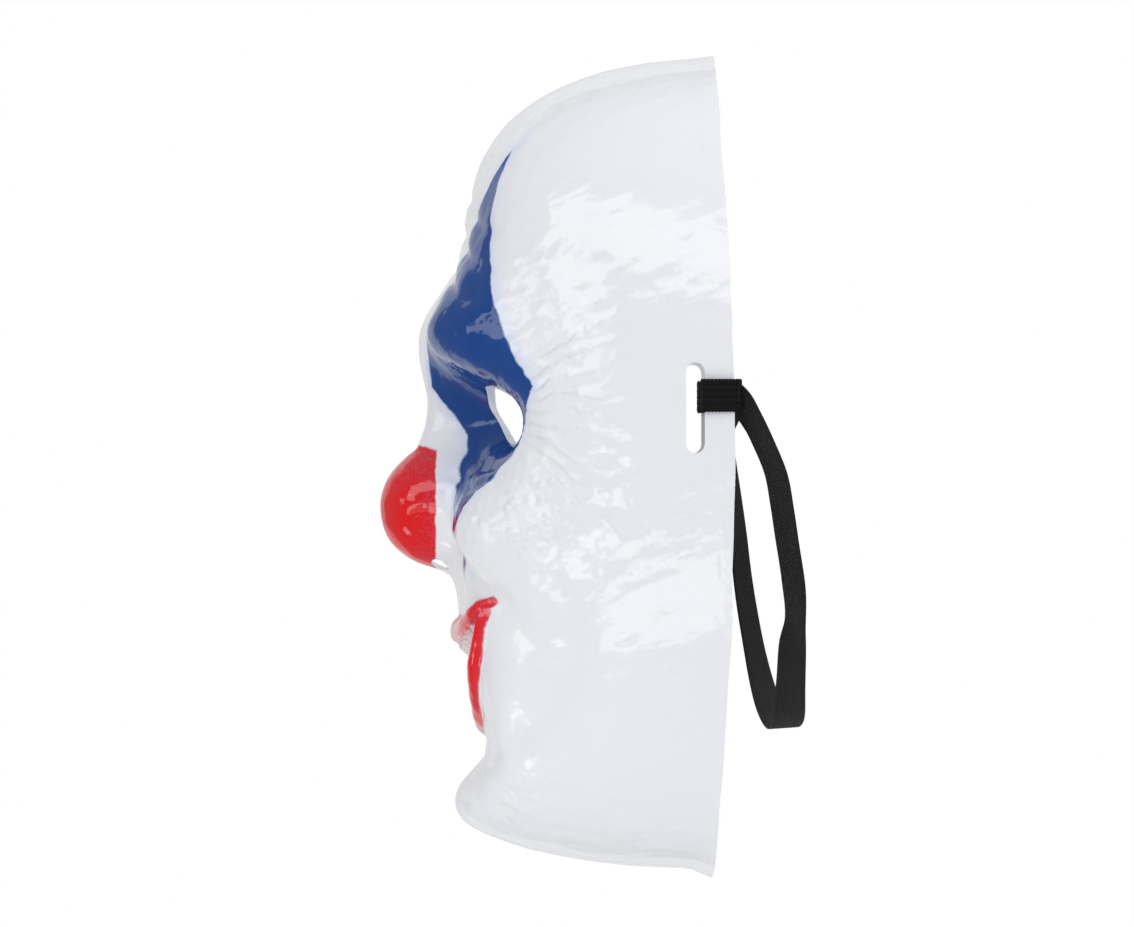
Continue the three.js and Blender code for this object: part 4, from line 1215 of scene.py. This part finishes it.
def painted_plastic(colours, shell):
    """Glossy white plastic with the sprayed blue, red and pink of the face."""
    m = Shader("painted_plastic")
    ragged = m.noise(scale=150, detail=3, roughness=0.6)
    fine = m.noise(scale=520, detail=3, roughness=0.6)
    cloud = m.noise(scale=60, detail=2)
    speckle = m.noise(scale=1700, detail=2, roughness=0.6)
    edges = paint_edges(m, shell)

    def sprayed(name):
        spray = SPRAYS[name]
        edge = edges[name] + ragged * spray["ragged"] + fine * spray["fine"]
        return edge, edge.step(spray["start"], spray["full"])

    blue_edge, blue = sprayed("blue")
    nose_edge, nose = sprayed("nose")
    lip_edge, lip = sprayed("lip")
    mist = blue_edge.step(*MIST_EDGE) ** 2.0
    mouth = edges["mouth"].step(*MOUTH_EDGE)
    enamel = (m.field("tooth") + fine * 0.08).step(0.18, 0.62)
    gum = (1 - (edges["mouth"] + ragged * GUM_RAGGED).step(*GUM_EDGE)) * mouth

    coat = m.mix(colours.white, colours.blue_mist, mist * TINTS["mist"])
    thin_blue = (cloud * 0.6 + fine * 0.45 - (edges["blue"] * BLUE_THICKENING)).step(-0.25, 1.05)
    coat = m.mix(coat, m.mix(colours.blue, colours.blue_thin, thin_blue), blue)
    thin_place = (1 - nose_edge.step(*THIN_NOSE_EDGE)).larger(edges["up_the_nose"].step(*THIN_NOSE_TOP))
    thin_red = (speckle + fine * 0.5).step(-0.12, 0.3) * thin_place
    coat = m.mix(coat, m.mix(colours.red, colours.red_thin, thin_red * TINTS["thin_red"]), nose)
    teeth = m.mix(colours.mouth_shade, colours.tooth, enamel)
    teeth = m.mix(teeth, colours.gum, gum * (TINTS["gum"] + TINTS["gum_between"] * (1 - enamel)))
    coat = m.mix(coat, teeth, mouth)
    worn = (1 - lip_edge.step(*WORN_LIP)) * TINTS["worn_lip"]
    cloudy = cloud.step(0.2, 0.9) * TINTS["cloudy_lip"]
    coat = m.mix(coat, m.mix(colours.red, colours.red_thin, worn + cloudy), lip)
    specks = m.noise(scale=310, detail=1).step(0.62, 0.66) * m.noise(scale=90, detail=1).step(0.1, 0.4)
    coat = m.mix(coat, DUST, specks * TINTS["dust"])
    return m.finish({
        "Base Color": coat,
        "Roughness": 0.035 + 0.01 * cloud + 0.12 * mouth,
        "Specular IOR Level": 0.5,
        "Coat Weight": 0.25,
        "Coat Roughness": 0.02,
        "Normal": m.bump(fine_skin(m), 1.0),
    })


def bare_plastic(colours):
    """The unpainted inside and the cut edges of the shell."""
    m = Shader("bare_plastic")
    cloud = m.noise(scale=70, detail=2)
    tint = m.mix(colours.inside, linear(214, 216, 222), cloud.step(0.0, 0.9))
    return m.finish({
        "Base Color": tint,
        "Roughness": 0.34 + 0.06 * cloud,
        "Normal": m.bump(m.noise(scale=380, detail=3), 0.00008),
    })


# Pitch of the crosswise yarns of the elastic, and depth of its weave
YARN_PITCH = 0.00075
WEAVE_DEPTH = 0.00016


def woven_elastic(name, black, light, cords, weave):
    """Matt black elastic: crosswise yarns over lengthwise cords."""
    m = Shader(name)
    yarn = (m.field("run") * (2 * math.pi / YARN_PITCH) + m.noise(scale=600, detail=1) * 0.8).sine()
    cord = (m.field("across") * (cords * math.pi)).sine()
    fuzz = m.noise(scale=2600, detail=3, roughness=0.7)
    woven = yarn * weave["yarn"] + cord * weave["cord"] + fuzz * 0.35
    # Painted shade: the low places of the weave are darkened towards near black. Painted highlight: its tops
    # are lightened towards the highlight colour, as far as the weave's light share goes.
    tint = m.mix(linear(7, 7, 7), black, woven.step(-0.9, 0.4))
    tint = m.mix(tint, light, woven.step(0.35, 1.3) * weave["light"])
    return m.finish({
        "Base Color": tint,
        "Roughness": 0.8 + 0.08 * fuzz,
        "Specular IOR Level": 0.25,
        "Sheen Weight": 0.06 * weave["light"],
        "Sheen Roughness": 0.5,
        "Normal": m.bump(woven, WEAVE_DEPTH),
    })


def seam_thread(colours):
    m = Shader("seam_thread")
    twist = m.noise(scale=3000, detail=1)
    tint = m.mix(colours.thread, linear(24, 16, 18), twist.step(-0.3, 0.5))
    return m.finish({"Base Color": tint, "Roughness": 0.7 + 0.05 * twist})


def plain_glow(name, strength):
    """A material that only glows white."""
    m = Shader(name)
    glow = m.node("ShaderNodeEmission", None, {"Color": (1, 1, 1), "Strength": strength})
    m.node("ShaderNodeOutputMaterial", None, {"Surface": glow})
    return m.material


# Operators

# Faces that meet at more than this angle show a sharp edge
SHARP_EDGE = math.radians(48)


class MASK_OT_face_shell(bpy.types.Operator):
    """Moulds the thin face shell, cuts its openings and paints it"""

    bl_idname = "mask.face_shell"
    bl_label = "Face shell"

    def execute(self, context):
        scene = context.scene
        face = Face(scene.mask_shell)
        bare = bare_plastic(scene.mask_colours)
        shell = shell_mesh(face, [painted_plastic(scene.mask_colours, scene.mask_shell), bare])
        cut(shell, opening_cutters(face, scene.mask_openings, bare))
        tooth_field(shell, face)
        shell.data.set_sharp_from_angle(angle=SHARP_EDGE)
        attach(shell, "root")
        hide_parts("mask_shell")
        return {"FINISHED"}


class MASK_OT_elastic_strap(bpy.types.Operator):
    """Weaves the elastic band and folds its ends round the shell behind the slots"""

    bl_idname = "mask.elastic_strap"
    bl_label = "Elastic strap"

    def execute(self, context):
        scene = context.scene
        strap = scene.mask_strap
        path = StrapPath(Face(scene.mask_shell), scene.mask_openings, strap)
        colours = scene.mask_colours
        light = colours.yarn_painted_highlight
        elastic = woven_elastic("woven_elastic", colours.elastic, light, strap.cords, BAND_WEAVE)
        # The tabs take a darker copy of the band's elastic with little of its painted highlight: painted
        # shade
        folded = woven_elastic("tab_elastic_painted_shade", colours.folded, light, strap.tab_ribs, TAB_WEAVE)
        thickness = strap.thickness
        belt = path.belt()
        bands = [add_band("strap_band", belt, STRAP_WIDTH, thickness, strap.cords, BAND_WEAVE, elastic)]
        width = STRAP_WIDTH * TAB_SPREAD
        for side, name in ((1, "strap_tab_left"), (-1, "strap_tab_right")):
            tab = path.tab(side)
            bands.append(add_band(name, tab, width, thickness, strap.tab_ribs, TAB_WEAVE, folded))
        for band in bands:
            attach(band, "root")
            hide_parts("elastic_strap")
        return {"FINISHED"}


class MASK_OT_strap_seams(bpy.types.Operator):
    """Sews the ends of the strap down behind the rim"""

    bl_idname = "mask.strap_seams"
    bl_label = "Strap seams"

    def execute(self, context):
        scene = context.scene
        strap = scene.mask_strap
        path = StrapPath(Face(scene.mask_shell), scene.mask_openings, strap)
        thread = seam_thread(scene.mask_colours)
        for side, name in ((1, "seam_left"), (-1, "seam_right")):
            tab = path.tab(side)
            points, faces = [], []
            for back in SEAM["rows"]:
                line = seam_line(tab[-back], side, strap.thickness)
                made, sides = thread_tube(line, SEAM["radius"])
                faces += [[i + len(points) for i in face] for face in sides]
                points += made.tolist()
            seam = add_mesh(name, points, faces, [thread])
            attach(seam, "root")
            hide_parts("elastic_strap")
        return {"FINISHED"}


# The round backdrop. end: share of a half turn up and down that it reaches
BACKDROP = dict(rings=32, sides=96, end=0.499)
AIR_COLOUR = (0.95, 0.97, 1.0, 1.0)
# Lamps as big soft boxes. turn, rise: degrees round from the front and up; away, wide, tall: metres;
# glow: how many times brighter than white the box looks; shines: whether it shows as a highlight
SOFT_BOXES = [
    dict(name="key_box", turn=62, rise=37, away=1.6, wide=2.4, tall=0.64, glow=1.9, shines=True),
    dict(name="brow_box", turn=8, rise=10, away=1.6, wide=0.5, tall=0.22, glow=1.7, shines=True),
    dict(name="temple_box", turn=30, rise=16, away=1.6, wide=0.5, tall=0.4, glow=2.0, shines=True),
    dict(name="cheek_box", turn=44, rise=-9, away=1.6, wide=0.6, tall=0.24, glow=2.3, shines=True),
    dict(name="chin_box", turn=14, rise=-41, away=1.6, wide=0.36, tall=0.22, glow=2.6, shines=True),
    dict(name="low_box", turn=74, rise=-24, away=1.6, wide=0.9, tall=0.5, glow=1.8, shines=True),
    dict(name="side_fill", turn=100, rise=-6, away=1.9, wide=1.8, tall=1.4, glow=0.18, shines=False),
    dict(name="under_fill", turn=84, rise=-66, away=1.6, wide=2.0, tall=1.5, glow=1.9, shines=False),
    dict(name="top_fill", turn=120, rise=76, away=1.7, wide=1.8, tall=1.2, glow=2.2, shines=False),
    dict(name="front_fill", turn=12, rise=-12, away=1.9, wide=1.6, tall=1.8, glow=0.45, shines=False),
    dict(name="far_wall", turn=-80, rise=0, away=2.0, wide=3.4, tall=3.4, glow=0.48, shines=True),
    dict(name="back_fill", turn=165, rise=12, away=1.9, wide=1.8, tall=1.6, glow=2.0, shines=False),
]


class MASK_OT_studio(bpy.types.Operator):
    """Sets up the white studio, its soft boxes and the camera"""

    bl_idname = "mask.studio"
    bl_label = "Studio"

    def execute(self, context):
        scene = context.scene
        studio = scene.mask_studio
        scene.view_settings.view_transform = "Standard"
        self.camera(scene, studio)
        self.backdrop(studio)
        aim = Vector((0, studio.aim_y, studio.aim_z))
        for box in SOFT_BOXES:
            self.soft_box(scene, box, aim)
        world = bpy.data.worlds.new("studio_air")
        world.use_nodes = True
        air = world.node_tree.nodes["Background"].inputs
        air["Color"].default_value = AIR_COLOUR
        air["Strength"].default_value = studio.ambient
        scene.world = world
        return {"FINISHED"}

    def camera(self, scene, studio):
        lens = bpy.data.cameras.new("camera")
        lens.sensor_width = 36
        lens.lens = lens.sensor_width * studio.camera_distance / studio.frame_width
        lens.clip_end = 50
        camera = bpy.data.objects.new("camera", lens)
        scene.collection.objects.link(camera)
        camera.location = (studio.camera_distance, studio.aim_y, studio.aim_z)
        camera.rotation_euler = (math.radians(90), 0, math.radians(90))
        scene.camera = camera

    def backdrop(self, studio):
        """A white backdrop all round, which only the camera sees."""
        rises = np.linspace(-BACKDROP["end"] * math.pi, BACKDROP["end"] * math.pi, BACKDROP["rings"] + 1)
        profile = [(studio.backdrop * math.cos(rise), studio.backdrop * math.sin(rise)) for rise in rises]
        angles = np.linspace(0, 2 * math.pi, BACKDROP["sides"], endpoint=False)
        points = [(r * math.cos(a), r * math.sin(a), z) for r, z in profile for a in angles]
        faces = wall_faces(np.arange(len(points)).reshape(len(profile), BACKDROP["sides"])).tolist()
        drop = add_mesh("white_backdrop", points, faces, [plain_glow("backdrop_white", 1.0)])
        for ray in ("diffuse", "glossy", "transmission", "shadow"):
            setattr(drop, "visible_" + ray, False)

    def soft_box(self, scene, box, aim):
        lamp = bpy.data.lights.new(box["name"], "AREA")
        lamp.shape = "RECTANGLE"
        lamp.size, lamp.size_y = box["wide"], box["tall"]
        lamp.energy = math.pi * box["wide"] * box["tall"] * box["glow"]
        turn, rise = math.radians(box["turn"]), math.radians(box["rise"])
        way = Vector((math.cos(rise) * math.sin(turn), -math.cos(rise) * math.cos(turn), math.sin(rise)))
        holder = bpy.data.objects.new(box["name"], lamp)
        scene.collection.objects.link(holder)
        holder.location = aim + way * box["away"]
        holder.rotation_euler = way.to_track_quat("Z", "Y").to_euler()
        holder.visible_camera = False
        holder.visible_glossy = box["shines"]


class MASK_PT_maker(bpy.types.Panel):
    """Lists the steps that build the mask"""

    bl_label = "Clown mask"
    bl_idname = "MASK_PT_maker"
    bl_space_type = "VIEW_3D"
    bl_region_type = "UI"
    bl_category = "Mask"

    def draw(self, context):
        for step in STEPS:
            self.layout.operator(step.bl_idname)
        for name in SETTINGS:
            box = self.layout.box()
            group = getattr(context.scene, name)
            for key in group.__annotations__:
                box.prop(group, key)


STEPS = [MASK_OT_studio, MASK_OT_face_shell, MASK_OT_elastic_strap, MASK_OT_strap_seams]
CLASSES = [*SETTINGS.values(), *STEPS, MASK_PT_maker]


def register():
    for made in CLASSES:
        bpy.utils.register_class(made)
    for name, group in SETTINGS.items():
        setattr(bpy.types.Scene, name, PointerProperty(type=group))


def unregister():
    for name in SETTINGS:
        delattr(bpy.types.Scene, name)
    for made in reversed(CLASSES):
        bpy.utils.unregister_class(made)


def main():
    register()
    bpy.ops.mask.studio()
    bpy.ops.mask.face_shell()
    bpy.ops.mask.elastic_strap()
    bpy.ops.mask.strap_seams()


if __name__ == "__main__":
    main()
